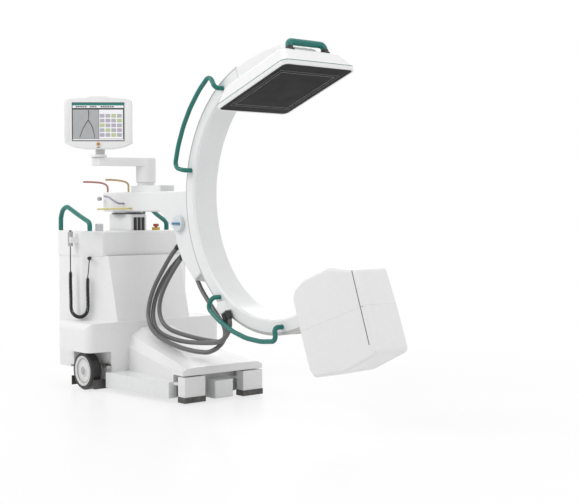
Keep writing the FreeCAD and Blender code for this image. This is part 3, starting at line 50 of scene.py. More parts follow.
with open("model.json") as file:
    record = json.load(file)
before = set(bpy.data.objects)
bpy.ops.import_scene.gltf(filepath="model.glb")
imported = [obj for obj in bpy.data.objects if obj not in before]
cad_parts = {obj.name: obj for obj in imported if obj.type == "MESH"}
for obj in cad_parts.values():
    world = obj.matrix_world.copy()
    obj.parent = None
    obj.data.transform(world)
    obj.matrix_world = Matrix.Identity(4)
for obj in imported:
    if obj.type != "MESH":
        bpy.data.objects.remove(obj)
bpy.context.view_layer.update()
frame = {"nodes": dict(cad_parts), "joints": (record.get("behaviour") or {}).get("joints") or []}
JOINTS = {joint["name"]: joint for joint in frame["joints"]}
C_CENTRE = Vector(JOINTS["orbital"]["pos_m"])
BEAM_TILT = math.radians(19.35)
SCREEN_TURN = math.radians(-40)
ON_BEAM = Matrix.Translation(C_CENTRE) @ Matrix.Rotation(-BEAM_TILT, 4, "Y")

# Cord routes, in metres: behind the C centre, beside the middle plane, above the floor

HOSE_LOOP = [
    (-0.729, -0.022, 0.730), (-0.766, -0.024, 0.706), (-0.812, -0.032, 0.658), (-0.857, -0.048, 0.587),
    (-0.896, -0.068, 0.512), (-0.912, -0.088, 0.427), (-0.897, -0.104, 0.352), (-0.829, -0.12, 0.298),
    (-0.724, -0.13, 0.267), (-0.60, -0.134, 0.246), (-0.50, -0.126, 0.236), (-0.441, -0.116, 0.2335),
    (-0.3962, -0.101, 0.234), (-0.3615, -0.078, 0.2528), (-0.3399, -0.054, 0.2859),
    (-0.3366, -0.044, 0.3253), (-0.3526, -0.042, 0.3615), (-0.409, -0.04, 0.406), (-0.489, -0.032, 0.465),
    (-0.566, -0.02, 0.521), (-0.624, -0.008, 0.580), (-0.657, 0.0, 0.646),
]
HOSE_OUTER = [
    (-0.715, 0.014, 0.705), (-0.752, 0.015, 0.685), (-0.796, 0.010, 0.650), (-0.846, -0.006, 0.600),
    (-0.884, -0.028, 0.534), (-0.905, -0.052, 0.460), (-0.903, -0.072, 0.386), (-0.87, -0.086, 0.326),
    (-0.80, -0.096, 0.290), (-0.69, -0.104, 0.274), (-0.566, -0.112, 0.270), (-0.452, -0.114, 0.275),
    (-0.37, -0.112, 0.282), (-0.3063, -0.108, 0.2895), (-0.267, -0.099, 0.3122), (-0.2441, -0.091, 0.3515),
    (-0.244, -0.088, 0.397), (-0.2658, -0.088, 0.4352),
]
HOSE_INNER = [
    (-0.701, -0.014, 0.682), (-0.732, -0.014, 0.663), (-0.776, -0.02, 0.616), (-0.822, -0.034, 0.550),
    (-0.856, -0.05, 0.478), (-0.866, -0.06, 0.406), (-0.838, -0.066, 0.350), (-0.77, -0.07, 0.312),
    (-0.642, -0.076, 0.297), (-0.51, -0.08, 0.289), (-0.402, -0.082, 0.287), (-0.3264, -0.083, 0.2875),
    (-0.2902, -0.085, 0.3083), (-0.2693, -0.088, 0.3444), (-0.2692, -0.088, 0.3861),
    (-0.2895, -0.088, 0.4217),
]
GLAND_LEAD = [
    (-1.128, -0.299, 0.644), (-1.124, -0.304, 0.620), (-1.125, -0.306, 0.590), (-1.126, -0.310, 0.560),
]
CURLY_CORD = [
    (-1.126, -0.310, 0.560), (-1.127, -0.311, 0.502), (-1.125, -0.310, 0.446), (-1.126, -0.310, 0.396),
    (-1.138, -0.316, 0.371), (-1.159, -0.327, 0.358), (-1.182, -0.339, 0.358), (-1.203, -0.350, 0.371),
    (-1.215, -0.356, 0.396), (-1.213, -0.356, 0.448), (-1.214, -0.357, 0.498), (-1.216, -0.357, 0.546),
    (-1.215, -0.356, 0.588),
]
SWITCH_LEAD = [
    (-1.215, -0.356, 0.588), (-1.216, -0.356, 0.628), (-1.214, -0.357, 0.670), (-1.215, -0.356, 0.712),
]


class StandSizes(PropertyGroup):
    hose_diameter: FloatProperty(
        name="Hose diameter", description="Outer diameter of the grey hoses", default=0.022, unit="LENGTH")
    hose_rib: FloatProperty(
        name="Hose rib", description="Height of the shallow ribs on the hoses", default=0.0003, unit="LENGTH")
    rib_pitch: FloatProperty(
        name="Rib pitch", description="Distance between hose ribs", default=0.006, unit="LENGTH")
    wire_diameter: FloatProperty(
        name="Lead diameter", description="Diameter of the hand switch's lead", default=0.0052, unit="LENGTH")
    curl_diameter: FloatProperty(
        name="Curl diameter", description="Outer diameter of the curly stretch", default=0.019, unit="LENGTH")
    curl_pitch: FloatProperty(
        name="Curl pitch", description="Distance between turns of the curly stretch", default=0.0066,
        unit="LENGTH")
    lead_length: FloatProperty(
        name="Lead length", description="Whole length of the hand switch's lead", default=3.5, unit="LENGTH")
    seam_width: FloatProperty(
        name="Seam width", description="Width of the drawn seam line", default=0.0024, unit="LENGTH")
    proud: FloatProperty(
        name="Trim height", description="How far thin trims stand off their surface", default=0.0006,
        unit="LENGTH")


def colour_choice(name, description, value):
    return FloatVectorProperty(
        name=name, description=description, subtype="COLOR", size=4, min=0, max=1, default=(*value, 1))


class StandColours(PropertyGroup):
    paint: colour_choice("Paint", "White powder coat", (0.80, 0.805, 0.81))
    cover: colour_choice("Covers", "White moulded covers", (0.82, 0.82, 0.82))
    rail: colour_choice("Rail", "Anodised grey rail", (0.52, 0.52, 0.51))
    steel: colour_choice("Steel", "Ground steel", (0.50, 0.49, 0.47))
    grip: colour_choice("Grips", "Green handles and bars", (0.010, 0.165, 0.138))
    dark: colour_choice("Dark plastic", "Black moulded pieces", (0.018, 0.018, 0.018))
    panel: colour_choice("Detector panel", "Black detector cover", (0.005, 0.0055, 0.0055))
    hose: colour_choice("Hoses", "Grey hose jacket", (0.125, 0.125, 0.123))
    tyre: colour_choice("Tyres", "Tread of the wheels", (0.022, 0.022, 0.024))
    seam: colour_choice("Seams", "Shadow colour of drawn seams", (0.10, 0.11, 0.11))
    trim: colour_choice("Trim", "Grey trim pieces", (0.42, 0.43, 0.43))
    floor: colour_choice("Floor", "Pale studio floor", (0.86, 0.86, 0.86))


# Shared shader effects

def new_group(name, inputs, output, kind):
    """A node group with named float or colour inputs and one output."""
    group = bpy.data.node_groups.new(name, "ShaderNodeTree")
    for word, value in inputs:
        is_colour = isinstance(value, tuple)
        socket_type = "NodeSocketColor" if is_colour else "NodeSocketFloat"
        socket = group.interface.new_socket(name=word, in_out="INPUT", socket_type=socket_type)
        socket.default_value = value
    group.interface.new_socket(name=output, in_out="OUTPUT", socket_type=kind)
    start = group.nodes.new("NodeGroupInput")
    end = group.nodes.new("NodeGroupOutput")
    return group, start, end


def noise(group, coordinates, scale, detail=2.0):
    node = group.nodes.new("ShaderNodeTexNoise")
    node.inputs["Detail"].default_value = detail
    if hasattr(scale, "is_output"):
        group.links.new(scale, node.inputs["Scale"])
    else:
        node.inputs["Scale"].default_value = scale
    group.links.new(coordinates, node.inputs["Vector"])
    return node.outputs["Fac"]


def maths(group, operation, first, second):
    """A maths node's result from numbers or other nodes' results."""
    node = group.nodes.new("ShaderNodeMath")
    node.operation = operation
    for socket, value in zip(node.inputs, (first, second)):
        if hasattr(value, "is_output"):
            group.links.new(value, socket)
        else:
            socket.default_value = value
    return node.outputs[0]


def seen_rays(tree):
    """One for rays that come from the camera, a reflection or glass."""
    path = tree.nodes.new("ShaderNodeLightPath")
    seen = maths(tree, "MAXIMUM", path.outputs["Is Camera Ray"], path.outputs["Is Glossy Ray"])
    return maths(tree, "MAXIMUM", seen, path.outputs["Is Transmission Ray"])


def spread(group, value, low, high, to_low, to_high):
    node = group.nodes.new("ShaderNodeMapRange")
    group.links.new(value, node.inputs["Value"])
    for word, number in (("From Min", low), ("From Max", high), ("To Min", to_low), ("To Max", to_high)):
        if hasattr(number, "is_output"):
            group.links.new(number, node.inputs[word])
        else:
            node.inputs[word].default_value = number
    return node.outputs["Result"]


def colour_mix(tree, factor, first, second):
    node = tree.nodes.new("ShaderNodeMix")
    node.data_type = "RGBA"
    tree.links.new(factor, node.inputs[0])
    for socket, value in ((node.inputs[6], first), (node.inputs[7], second)):
        if hasattr(value, "is_output"):
            tree.links.new(value, socket)
        else:
            socket.default_value = value
    return node.outputs[2]


def make_grain_group():
    """Height of a fine moulded or sprayed skin."""
    group, start, end = new_group(
        "fine_grain", [("Scale", 900.0), ("Waviness", 0.3)], "Height", "NodeSocketFloat")
    place = group.nodes.new("ShaderNodeTexCoord").outputs["Object"]
    fine = noise(group, place, start.outputs["Scale"])
    broad = noise(group, place, 60.0)
    wave = maths(group, "MULTIPLY", broad, start.outputs["Waviness"])
    group.links.new(maths(group, "ADD", fine, wave), end.inputs["Height"])
    return group


def make_tone_group():
    """Colour that drifts slightly, with a little dust low down."""
    inputs = [("Colour", (0.8, 0.8, 0.8, 1.0)), ("Drift Colour", (0.7, 0.7, 0.7, 1.0)),
              ("Drift", 0.3), ("Dust", 0.3)]
    group, start, end = new_group("handled_tone", inputs, "Colour", "NodeSocketColor")
    place = group.nodes.new("ShaderNodeTexCoord").outputs["Object"]
    broad = noise(group, place, 4.0, 3.0)
    close = noise(group, place, 55.0, 3.0)
    patches = maths(group, "MULTIPLY", broad, close)
    drift = maths(group, "MULTIPLY", spread(group, patches, 0.15, 0.45, 0.0, 1.0), start.outputs["Drift"])
    toned = colour_mix(group, drift, start.outputs["Colour"], start.outputs["Drift Colour"])
    apart = group.nodes.new("ShaderNodeSeparateXYZ")
    group.links.new(place, apart.inputs[0])
    low = spread(group, apart.outputs["Z"], 0.0, 0.25, 1.0, 0.0)
    dust = maths(group, "MULTIPLY", maths(group, "MULTIPLY", low, close), start.outputs["Dust"])
    group.links.new(colour_mix(group, dust, toned, (0.35, 0.33, 0.30, 1.0)), end.inputs["Colour"])
    return group


def make_gloss_group():
    """Roughness that varies with wiping and touch."""
    inputs = [("Smooth", 0.3), ("Dull", 0.45), ("Scale", 12.0)]
    group, start, end = new_group("wiped_gloss", inputs, "Roughness", "NodeSocketFloat")
    place = group.nodes.new("ShaderNodeTexCoord").outputs["Object"]
    patches = noise(group, place, start.outputs["Scale"], 4.0)
    rough = spread(group, patches, 0.3, 0.7, start.outputs["Smooth"], start.outputs["Dull"])
    group.links.new(rough, end.inputs["Roughness"])
    return group


def make_ring_group():
    """One outside a radius about a wheel's axle, nought inside it."""
    inputs = [("Axle X", 0.0), ("Axle Z", 0.0), ("Radius", 0.07)]
    group, start, end = new_group("outside_rim", inputs, "Mask", "NodeSocketFloat")
    place = group.nodes.new("ShaderNodeTexCoord").outputs["Object"]
    apart = group.nodes.new("ShaderNodeSeparateXYZ")
    group.links.new(place, apart.inputs[0])
    along = maths(group, "SUBTRACT", apart.outputs["X"], start.outputs["Axle X"])
    up = maths(group, "SUBTRACT", apart.outputs["Z"], start.outputs["Axle Z"])
    squares = maths(group, "ADD", maths(group, "MULTIPLY", along, along), maths(group, "MULTIPLY", up, up))
    radius = maths(group, "SQRT", squares, 0.0)
    group.links.new(maths(group, "GREATER_THAN", radius, start.outputs["Radius"]), end.inputs["Mask"])
    return group


GROUPS = {}


def shared(word):
    makers = {"grain": make_grain_group, "tone": make_tone_group, "gloss": make_gloss_group,
              "ring": make_ring_group}
    if word not in GROUPS:
        GROUPS[word] = makers[word]()
    return GROUPS[word]


def use_group(tree, word, values):
    node = tree.nodes.new("ShaderNodeGroup")
    node.node_tree = shared(word)
    for name, value in values.items():
        node.inputs[name].default_value = value
    return node.outputs[0]


# Finishes

def finish(name, colour, smooth, dull, drift=0.25, dust=0.1, grain=900.0, relief=0.12, metallic=0.0, coat=0.0,
           specular=0.5, accent=None):
    """A material from the shared effects. accent is (mask maker, second colour)."""
    if name in bpy.data.materials:
        return bpy.data.materials[name]
    material = bpy.data.materials.new(name)
    material.use_nodes = True
    tree = material.node_tree
    shader = tree.nodes["Principled BSDF"]
    shade = tuple(part * 0.86 for part in colour[:3]) + (1.0,)
    tone = use_group(tree, "tone", {"Colour": (*colour[:3], 1.0), "Drift Colour": shade,
                                    "Drift": drift, "Dust": dust})
    if accent:
        mask, second = accent
        tone = colour_mix(tree, mask(tree), tone, (*second[:3], 1.0))
    tree.links.new(tone, shader.inputs["Base Color"])
    gloss = use_group(tree, "gloss", {"Smooth": smooth, "Dull": dull, "Scale": 14.0})
    tree.links.new(gloss, shader.inputs["Roughness"])
    bump = tree.nodes.new("ShaderNodeBump")
    bump.inputs["Strength"].default_value = relief
    bump.inputs["Distance"].default_value = 0.0006
    height = use_group(tree, "grain", {"Scale": grain, "Waviness": 0.35})
    tree.links.new(height, bump.inputs["Height"])
    tree.links.new(bump.outputs["Normal"], shader.inputs["Normal"])
    shader.inputs["Metallic"].default_value = metallic
    shader.inputs["Specular IOR Level"].default_value = specular
    shader.inputs["Coat Weight"].default_value = coat
    shader.inputs["Coat Roughness"].default_value = 0.12
    return material


def outside_rim(joint, radius):
    """A mask maker for the tyre of a wheel that turns on that joint."""
    axle = JOINTS[joint]["pos_m"]

    def mask(tree):
        return use_group(tree, "ring", {"Axle X": axle[0], "Axle Z": axle[2], "Radius": radius})
    return mask


def beyond(axis, limit):
    """A mask maker for the side of a piece where a coordinate is below a limit."""
    def mask(tree):
        place = tree.nodes.new("ShaderNodeTexCoord").outputs["Object"]
        apart = tree.nodes.new("ShaderNodeSeparateXYZ")
        tree.links.new(place, apart.inputs[0])
        return maths(tree, "LESS_THAN", apart.outputs[axis], limit)
    return mask


def paint(colours):
    return finish("white powder coat", colours.paint, 0.30, 0.42, grain=700.0, relief=0.10, coat=0.25)


def cover(colours):
    return finish("white moulded cover", colours.cover, 0.32, 0.45, grain=1300.0, relief=0.08)


def rail(colours):
    return finish("anodised rail", colours.rail, 0.38, 0.50, grain=1800.0, relief=0.06, metallic=0.15)


def steel(colours):
    return finish("ground steel", colours.steel, 0.25, 0.40, grain=1500.0, relief=0.08, metallic=0.9)


def grip(colours):
    return finish("green grip", colours.grip, 0.24, 0.36, grain=600.0, relief=0.05, coat=0.1, specular=0.35)


def dark(colours):
    return finish("black moulded plastic", colours.dark, 0.38, 0.55, dust=0.35, grain=1000.0, relief=0.2)


def rubber(colours):
    return finish("black cord jacket", colours.dark, 0.45, 0.6, dust=0.2, grain=1400.0, relief=0.12)


def hose(colours):
    return finish("grey hose jacket", colours.hose, 0.26, 0.38, dust=0.1, grain=1200.0, relief=0.12)


def seam(colours):
    return finish("seam shadow", colours.seam, 0.5, 0.6, relief=0.05)


# Real grey of the arm knob and hub caps; on the carriage's end wedge the same grey is painted shade
def pale_trim(colours):
    return finish("grey trim", colours.trim, 0.4, 0.5, relief=0.06)


CAD_FINISHES = {
    "chassis": paint, "c_arc": paint, "arm_housing": paint, "carriage": paint, "monitor_post": paint,
    "base_cover": cover, "foot_cover": cover, "body_shell": cover, "head_shell": cover,
    "detector_rim": cover, "detector_housing": cover, "detector_fairing": cover, "generator_upper": cover,
    "generator_lower": cover, "monitor_boom": cover, "monitor_neck": cover, "monitor_housing": cover,
    "caster_covers": cover, "switch_holder": cover, "lift_column": paint,
    "guide_rail": rail, "outer_column": rail, "swivel_disc": steel, "lift_spindle": steel,
    "reach_slide": steel, "guide_shoe": steel, "xray_tube": steel, "brake_pedal": steel,
    "caster_fork_left": steel, "caster_fork_right": steel,
    "push_bow_left": grip, "push_bow_right": grip, "grab_bar_upper": grip, "grab_bar_lower": grip,
    "detector_handle": grip,
    "deflectors": dark, "hand_switch": dark, "cord_gland": dark, "switch_button": dark, "hose_clamp": cover,
    "hose_loop": hose, "hose_outer": hose, "hose_inner": hose,
    "curly_cord": rubber, "switch_lead": rubber, "gland_lead": rubber,
}


# Modelling helpers

def new_piece(name, form, skin, body, place=None, sharp=35):
    """Turns a bmesh into a piece in the row frame that rides on a body."""
    if place is not None:
        form.transform(place)
    bmesh.ops.remove_doubles(form, verts=form.verts, dist=1e-6)
    bmesh.ops.recalc_face_normals(form, faces=form.faces)
    mesh = bpy.data.meshes.new(name)
    form.to_mesh(mesh)
    form.free()
    mesh.shade_smooth()
    mesh.set_sharp_from_angle(angle=math.radians(sharp))
    piece = bpy.data.objects.new(name, mesh)
    bpy.context.scene.collection.objects.link(piece)
    skins = skin if isinstance(skin, list) else [skin]
    for one in skins:
        mesh.materials.append(one)
    if body:
        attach(piece, body)
    return piece


def slab(form, across, along, thickness, corner=0.0, middle=(0, 0, 0), edge=0.0):
    """A rounded plate on its own XY plane, from its middle upwards."""
    made = bmesh.ops.create_grid(form, x_segments=1, y_segments=1, size=0.5)
    bmesh.ops.scale(form, verts=made["verts"], vec=(across, along, 1))
    face = made["verts"][0].link_faces[0]
    if corner:
        bmesh.ops.bevel(form, geom=made["verts"], offset=corner, affect="VERTICES", segments=6,
                        profile=0.5, material=-1)
        face = max((f for f in form.faces if len(f.verts) > 4 and not f.tag), key=lambda f: f.index)
    risen = bmesh.ops.extrude_face_region(form, geom=[face])
    top = [part for part in risen["geom"] if isinstance(part, bmesh.types.BMVert)]
    bmesh.ops.translate(form, verts=top, vec=(0, 0, thickness))
    start = top[0]
    if edge:
        rims = {e for v in top for e in v.link_edges if e.other_vert(v) in top}
        bmesh.ops.bevel(form, geom=list(rims), offset=edge, affect="EDGES", segments=3, profile=0.5,
                        material=-1)
        start = next(v for v in form.verts if not v.tag)
    island = island_of(start)
    bmesh.ops.translate(form, verts=island, vec=middle)
    for vert in island:
        vert.tag = True
        for f in vert.link_faces:
            f.tag = True
    return island


def island_of(start):
    """The vertices that hang together with one vertex."""
    found = {start}
    open_ends = [start]
    while open_ends:
        vert = open_ends.pop()
        for edge in vert.link_edges:
            other = edge.other_vert(vert)
            if other not in found:
                found.add(other)
                open_ends.append(other)
    return list(found)


def turned(form, profile, steps=48):
    """Spins a profile of (radius, height) points about Z."""
    verts = [form.verts.new((radius, 0, height)) for radius, height in profile]
    edges = [form.edges.new(pair) for pair in zip(verts, verts[1:])]
    bmesh.ops.spin(form, geom=verts + edges, cent=(0, 0, 0), axis=(0, 0, 1), angle=math.tau, steps=steps,
                   use_merge=True)
    bmesh.ops.remove_doubles(form, verts=form.verts, dist=1e-6)


def prism(form, points, depth):
    """A plate with a drawn outline on XY, raised by depth."""
    face = form.faces.new([form.verts.new((x, y, 0)) for x, y in points])
    risen = bmesh.ops.extrude_face_region(form, geom=[face])
    top = [part for part in risen["geom"] if isinstance(part, bmesh.types.BMVert)]
    bmesh.ops.translate(form, verts=top, vec=(0, 0, depth))


def line_frame(form, across, along, width, thickness, middle=(0, 0, 0)):
    """A thin rectangular line."""
    made = bmesh.ops.create_grid(form, x_segments=1, y_segments=1, size=0.5)
    bmesh.ops.scale(form, verts=made["verts"], vec=(across, along, 1))
    bmesh.ops.translate(form, verts=made["verts"], vec=middle)
    face = made["verts"][0].link_faces[0]
    bmesh.ops.inset_region(form, faces=[face], thickness=width, use_even_offset=True, use_boundary=True)
    bmesh.ops.delete(form, geom=[face], context="FACES_ONLY")
    ring = list({f for v in made["verts"] for f in v.link_faces})
    risen = bmesh.ops.extrude_face_region(form, geom=ring)
    top = [part for part in risen["geom"] if isinstance(part, bmesh.types.BMVert)]
    bmesh.ops.translate(form, verts=top, vec=(0, 0, thickness))


# Cords

def from_centre(route):
    """Route points in the row frame."""
    return [Vector((C_CENTRE.x + x, y, z)) for x, y, z in route]


def smooth_line(name, points, fineness):
    """A curve with one smooth spline whose control points are given."""
    curve = bpy.data.curves.new(name, "CURVE")
    curve.dimensions = "3D"
    spline = curve.splines.new("NURBS")
    spline.points.add(len(points) - 1)
    for control, point in zip(spline.points, points):
        control.co = (*point, 1.0)
    spline.order_u = 3
    spline.use_endpoint_u = True
    spline.resolution_u = fineness
    line = bpy.data.objects.new(name, curve)
    bpy.context.scene.collection.objects.link(line)
    return line


def followed(points, step):
    """Points at even steps along the smooth line through a route."""
    line = smooth_line("route", points, 40)
    mesh = bpy.data.meshes.new_from_object(line)
    fine = [vert.co.copy() for vert in mesh.vertices]
    bpy.data.objects.remove(line)
    bpy.data.meshes.remove(mesh)
    length = sum((b - a).length for a, b in zip(fine, fine[1:]))
    count = max(2, round(length / step))
    even, travelled, target = [fine[0]], 0.0, length / count
    for a, b in zip(fine, fine[1:]):
        piece = (b - a).length
        while piece > 0 and travelled + piece >= target - 1e-9 and len(even) < count:
            even.append(a.lerp(b, (target - travelled) / piece))
            target += length / count
        travelled += piece
    return even + [fine[-1]]


def carried_axes(points):
    """Two axes across the line at each point, carried along without twisting."""
    axes = []
    side = None
    for index in range(len(points)):
        ahead = points[min(index + 1, len(points) - 1)] - points[max(index - 1, 0)]
        ahead.normalize()
        if side is None:
            side = ahead.orthogonal().normalized()
        side = (side - ahead * side.dot(ahead)).normalized()
        axes.append((side.copy(), ahead.cross(side)))
    return axes


def tube(form, points, radius_at, sides=20):
    """A closed tube whose rings follow points."""
    rings = []
    for index, (point, (side, other)) in enumerate(zip(points, carried_axes(points))):
        radius = radius_at(index)
        ring = []
        for step in range(sides):
            turn = math.tau * step / sides
            ring.append(form.verts.new(point + (side * math.cos(turn) + other * math.sin(turn)) * radius))
        rings.append(ring)
    edges = [[form.edges.new((a, b)) for a, b in zip(ring, ring[1:] + ring[:1])] for ring in rings]
    for near, far in zip(edges, edges[1:]):
        bmesh.ops.bridge_loops(form, edges=near + far)
    form.faces.new(rings[0])
    form.faces.new(rings[-1])


def make_hose(name, route, sizes, skin):
    """A ribbed hose that follows its route."""
    points = from_centre(route)
    rings_per_rib = 3
    step = sizes.rib_pitch / rings_per_rib
    path = followed(points, step)
    radius = sizes.hose_diameter / 2

    def ribbed(index):
        return radius - sizes.hose_rib * (0.5 + 0.5 * math.cos(math.tau * index / rings_per_rib))

    form = bmesh.new()
    tube(form, path, ribbed)
    piece = new_piece(name, form, skin, None, sharp=60)
    return piece, path


def curled(points, radius, pitch):
    """Helix points about a line, easing in and out at its ends."""
    per_turn = 14
    path = followed(points, pitch / per_turn)
    ease = per_turn * 1.5
    found = []
    for index, (point, (side, other)) in enumerate(zip(path, carried_axes(path))):
        swell = min(1.0, index / ease, (len(path) - 1 - index) / ease)
        turn = math.tau * index / per_turn
        found.append(point + (side * math.cos(turn) + other * math.sin(turn)) * radius * swell)
    return found


class CARM_OT_hoses(Operator):
    """Three grey hoses that hang from the carriage"""
    bl_idname = "carm.hoses"
    bl_label = "Hoses"

    def execute(self, context):
        sizes, skin = context.scene.carm_sizes, hose(context.scene.carm_colours)
        # The loop hose rides on the carriage; the other two are left without a parent, each with a cuff on
        # the carriage and a cuff on the C
        for name, node, route in (
            ("hose_loop_line", "hose_loop", HOSE_LOOP),
            ("hose_outer_line", "hose_outer", HOSE_OUTER),
            ("hose_inner_line", "hose_inner", HOSE_INNER),
        ):
            piece, path = make_hose(name, route, sizes, skin)
            far_body = "carrier" if node == "hose_loop" else "c_frame"
            if node == "hose_loop":
                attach(piece, "carrier")
            else:
                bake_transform(piece)
            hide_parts(node)
            for line, body, word in ((path, "carrier", "near"), (path[::-1], far_body, "far")):
                self.cuff(f"{node}_cuff_{word}", line, body, context)
        return {"FINISHED"}

    def cuff(self, name, line, body, context):
        """A tapered sleeve over the hose's last stretch."""
        radius = context.scene.carm_sizes.hose_diameter / 2
        first, last = 2, 22
        stretch = line[first:last]
        wall, taper, groove_depth, plain_rings, groove_every = 0.0042, 0.0030, 0.0012, 6, 4

        def tapered(index):
            share = index / (len(stretch) - 1)
            grooved = index % groove_every == groove_every - 1 and index > plain_rings
            return radius + wall - taper * share - (groove_depth if grooved else 0.0)

        form = bmesh.new()
        tube(form, stretch, tapered)
        return new_piece(name, form, dark(context.scene.carm_colours), body, sharp=40)


class CARM_OT_hand_lead(Operator):
    """Curly lead between the hand switch and its gland"""
    bl_idname = "carm.hand_lead"
    bl_label = "Hand switch lead"

    def execute(self, context):
        sizes = context.scene.carm_sizes
        radius = (sizes.curl_diameter - sizes.wire_diameter) / 2
        points = from_centre(GLAND_LEAD[:-1])
        points += curled(from_centre(CURLY_CORD), radius, sizes.curl_pitch)
        points += from_centre(SWITCH_LEAD[1:])
        line = smooth_line("curly_lead", points, 2)
        line.data.bevel_depth = sizes.wire_diameter / 2
        line.data.bevel_resolution = 2
        line.data.use_fill_caps = True
        line.data.materials.append(rubber(context.scene.carm_colours))
        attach(line, "trolley")
        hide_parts("gland_lead", "curly_cord", "switch_lead")
        return {"FINISHED"}


class CARM_OT_finishes(Operator):
    """Material of every carried-over solid"""
    bl_idname = "carm.finishes"
    bl_label = "Finishes"

    def execute(self, context):
        colours = context.scene.carm_colours
        white = colours.cover
        rear_tyre = outside_rim("wheel_left_spin", 0.0745)
        small_tyre = outside_rim("caster_left_spin", 0.026)
        knob_bar = beyond("Y", -0.0845)
        special = {
            "detector_panel": finish("black carbon cover", colours.panel, 0.30, 0.40, dust=0.0, grain=400.0,
                                     relief=0.03, specular=0.04),
            "rear_wheel_left": finish("wheel disc and tyre", white, 0.35, 0.5, dust=0.5,
                                      accent=(rear_tyre, colours.tyre)),
            "caster_wheel_left": finish("caster disc and tyre", (0.45, 0.45, 0.45), 0.4, 0.55, dust=0.5,
                                        accent=(small_tyre, colours.tyre)),
            "carriage_knob": finish("brake knob", (0.66, 0.70, 0.72), 0.25, 0.4,
                                    accent=(knob_bar, (0.03, 0.17, 0.33))),
            "screen": finish("display glass", (0.03, 0.035, 0.04), 0.08, 0.16, dust=0.0, relief=0.0,
                             coat=0.4),
            "key_switch": finish("grey enamel", (0.60, 0.61, 0.62), 0.35, 0.5),
            "swivel_disc": finish("dark machined disc", (0.10, 0.10, 0.105), 0.25, 0.38, metallic=0.7),
            "hand_switch": finish("grey switch body", (0.42, 0.42, 0.43), 0.35, 0.5),
            "lever_red": finish("red sleeve", (0.40, 0.16, 0.14), 0.28, 0.4),
            "lever_tan": finish("tan sleeve", (0.50, 0.35, 0.19), 0.28, 0.4),
            "lever_violet": finish("violet sleeve", (0.33, 0.29, 0.38), 0.28, 0.4),
            "lever_yellow": finish("yellow sleeve", (0.62, 0.55, 0.22), 0.28, 0.4),
            "stop_button": finish("stop head", (0.38, 0.06, 0.03), 0.25, 0.35, coat=0.3),
            "stop_base": finish("stop collar", (0.62, 0.42, 0.05), 0.35, 0.5),
        }
        special["rear_wheel_right"] = special["rear_wheel_left"]
        special["caster_wheel_right"] = special["caster_wheel_left"]
        for name, node in frame["nodes"].items():
            skin = special[name] if name in special else CAD_FINISHES[name](colours)
            node.data.materials.clear()
            node.data.materials.append(skin)
        return {"FINISHED"}


class CARM_OT_detector_trim(Operator):
    """Seam line, field lines and handle feet of the detector"""
    bl_idname = "carm.detector_trim"
    bl_label = "Detector trim"

    def execute(self, context):
        sizes, colours = context.scene.carm_sizes, context.scene.carm_colours
        length, width, corner = 0.502, 0.408, 0.032
        middle, face, rim, housing = 0.190, 0.415, 0.018, 0.073
        handle_inset, handle_half_span, field_shift, sunk = 0.060, 0.100, 0.006, 0.001
        form = bmesh.new()
        slab(form, length + 2 * sizes.proud, width + 2 * sizes.proud, sizes.seam_width, corner,
             middle=(middle, 0, face + rim - sizes.seam_width / 2))
        line = finish("green seam line", (0.05, 0.22, 0.20), 0.35, 0.45)
        new_piece("detector_seam", form, line, "c_frame", ON_BEAM)
        form = bmesh.new()
        bottom = face - sizes.proud
        for across, along, wide in ((0.340, 0.300, 0.0014), (0.372, 0.332, 0.0009)):
            line_frame(form, across, along, wide, sizes.proud * 1.5, middle=(middle - field_shift, 0, bottom))
        pale = finish("field line", (0.30, 0.305, 0.305), 0.4, 0.5)
        new_piece("detector_field_lines", form, pale, "c_frame", ON_BEAM)
        reach = middle + length / 2 - handle_inset
        seat = face + rim + housing - sunk
        for side, word in ((-1, "right"), (1, "left")):
            form = bmesh.new()
            turned(form, [(0.0, 0.0), (0.0215, 0.0), (0.0215, 0.004), (0.0178, 0.008), (0.0165, 0.020),
                          (0.0, 0.020)])
            place = ON_BEAM @ Matrix.Translation((reach, side * handle_half_span, seat))
            foot = new_piece(f"detector_handle_foot_{word}", form, dark(colours), "c_frame", place)
        return {"FINISHED"}


class CARM_OT_generator_trim(Operator):
    """Painted shade of the groove and of the joint mark between the generator's side and front covers"""
    bl_idname = "carm.generator_trim"
    bl_label = "Generator trim"

    def execute(self, context):
        sizes, colours = context.scene.carm_sizes, context.scene.carm_colours
        half = 0.092
        groove_back, groove_front, mark_back, mark_front, mark_half = 0.4285, 0.4325, 0.440, 0.445, 0.0012
        # Thin strips in the seam shadow colour, standing proud of the covers: painted shade of the groove and
        # of the cover joint
        groove = seam(colours)
        top, seam_height, bottom = -0.480, -0.632, -0.788
        for side, word in ((-1, "right"), (1, "left")):
            form = bmesh.new()
            prism(form, [(groove_back, top), (groove_front, top), (groove_front, bottom),
                         (groove_back, bottom)], sizes.proud)
            prism(form, [(mark_back, seam_height - mark_half), (mark_front, seam_height - mark_half),
                         (mark_front, seam_height + mark_half), (mark_back, seam_height + mark_half)],
                  sizes.proud)
            upright = Matrix.Rotation(math.radians(90), 4, "X")
            shift = Matrix.Translation((0, side * half + (0 if side < 0 else sizes.proud), 0))
            new_piece(f"generator_shade_line_{word}", form, groove, "c_frame", ON_BEAM @ shift @ upright)
        return {"FINISHED"}


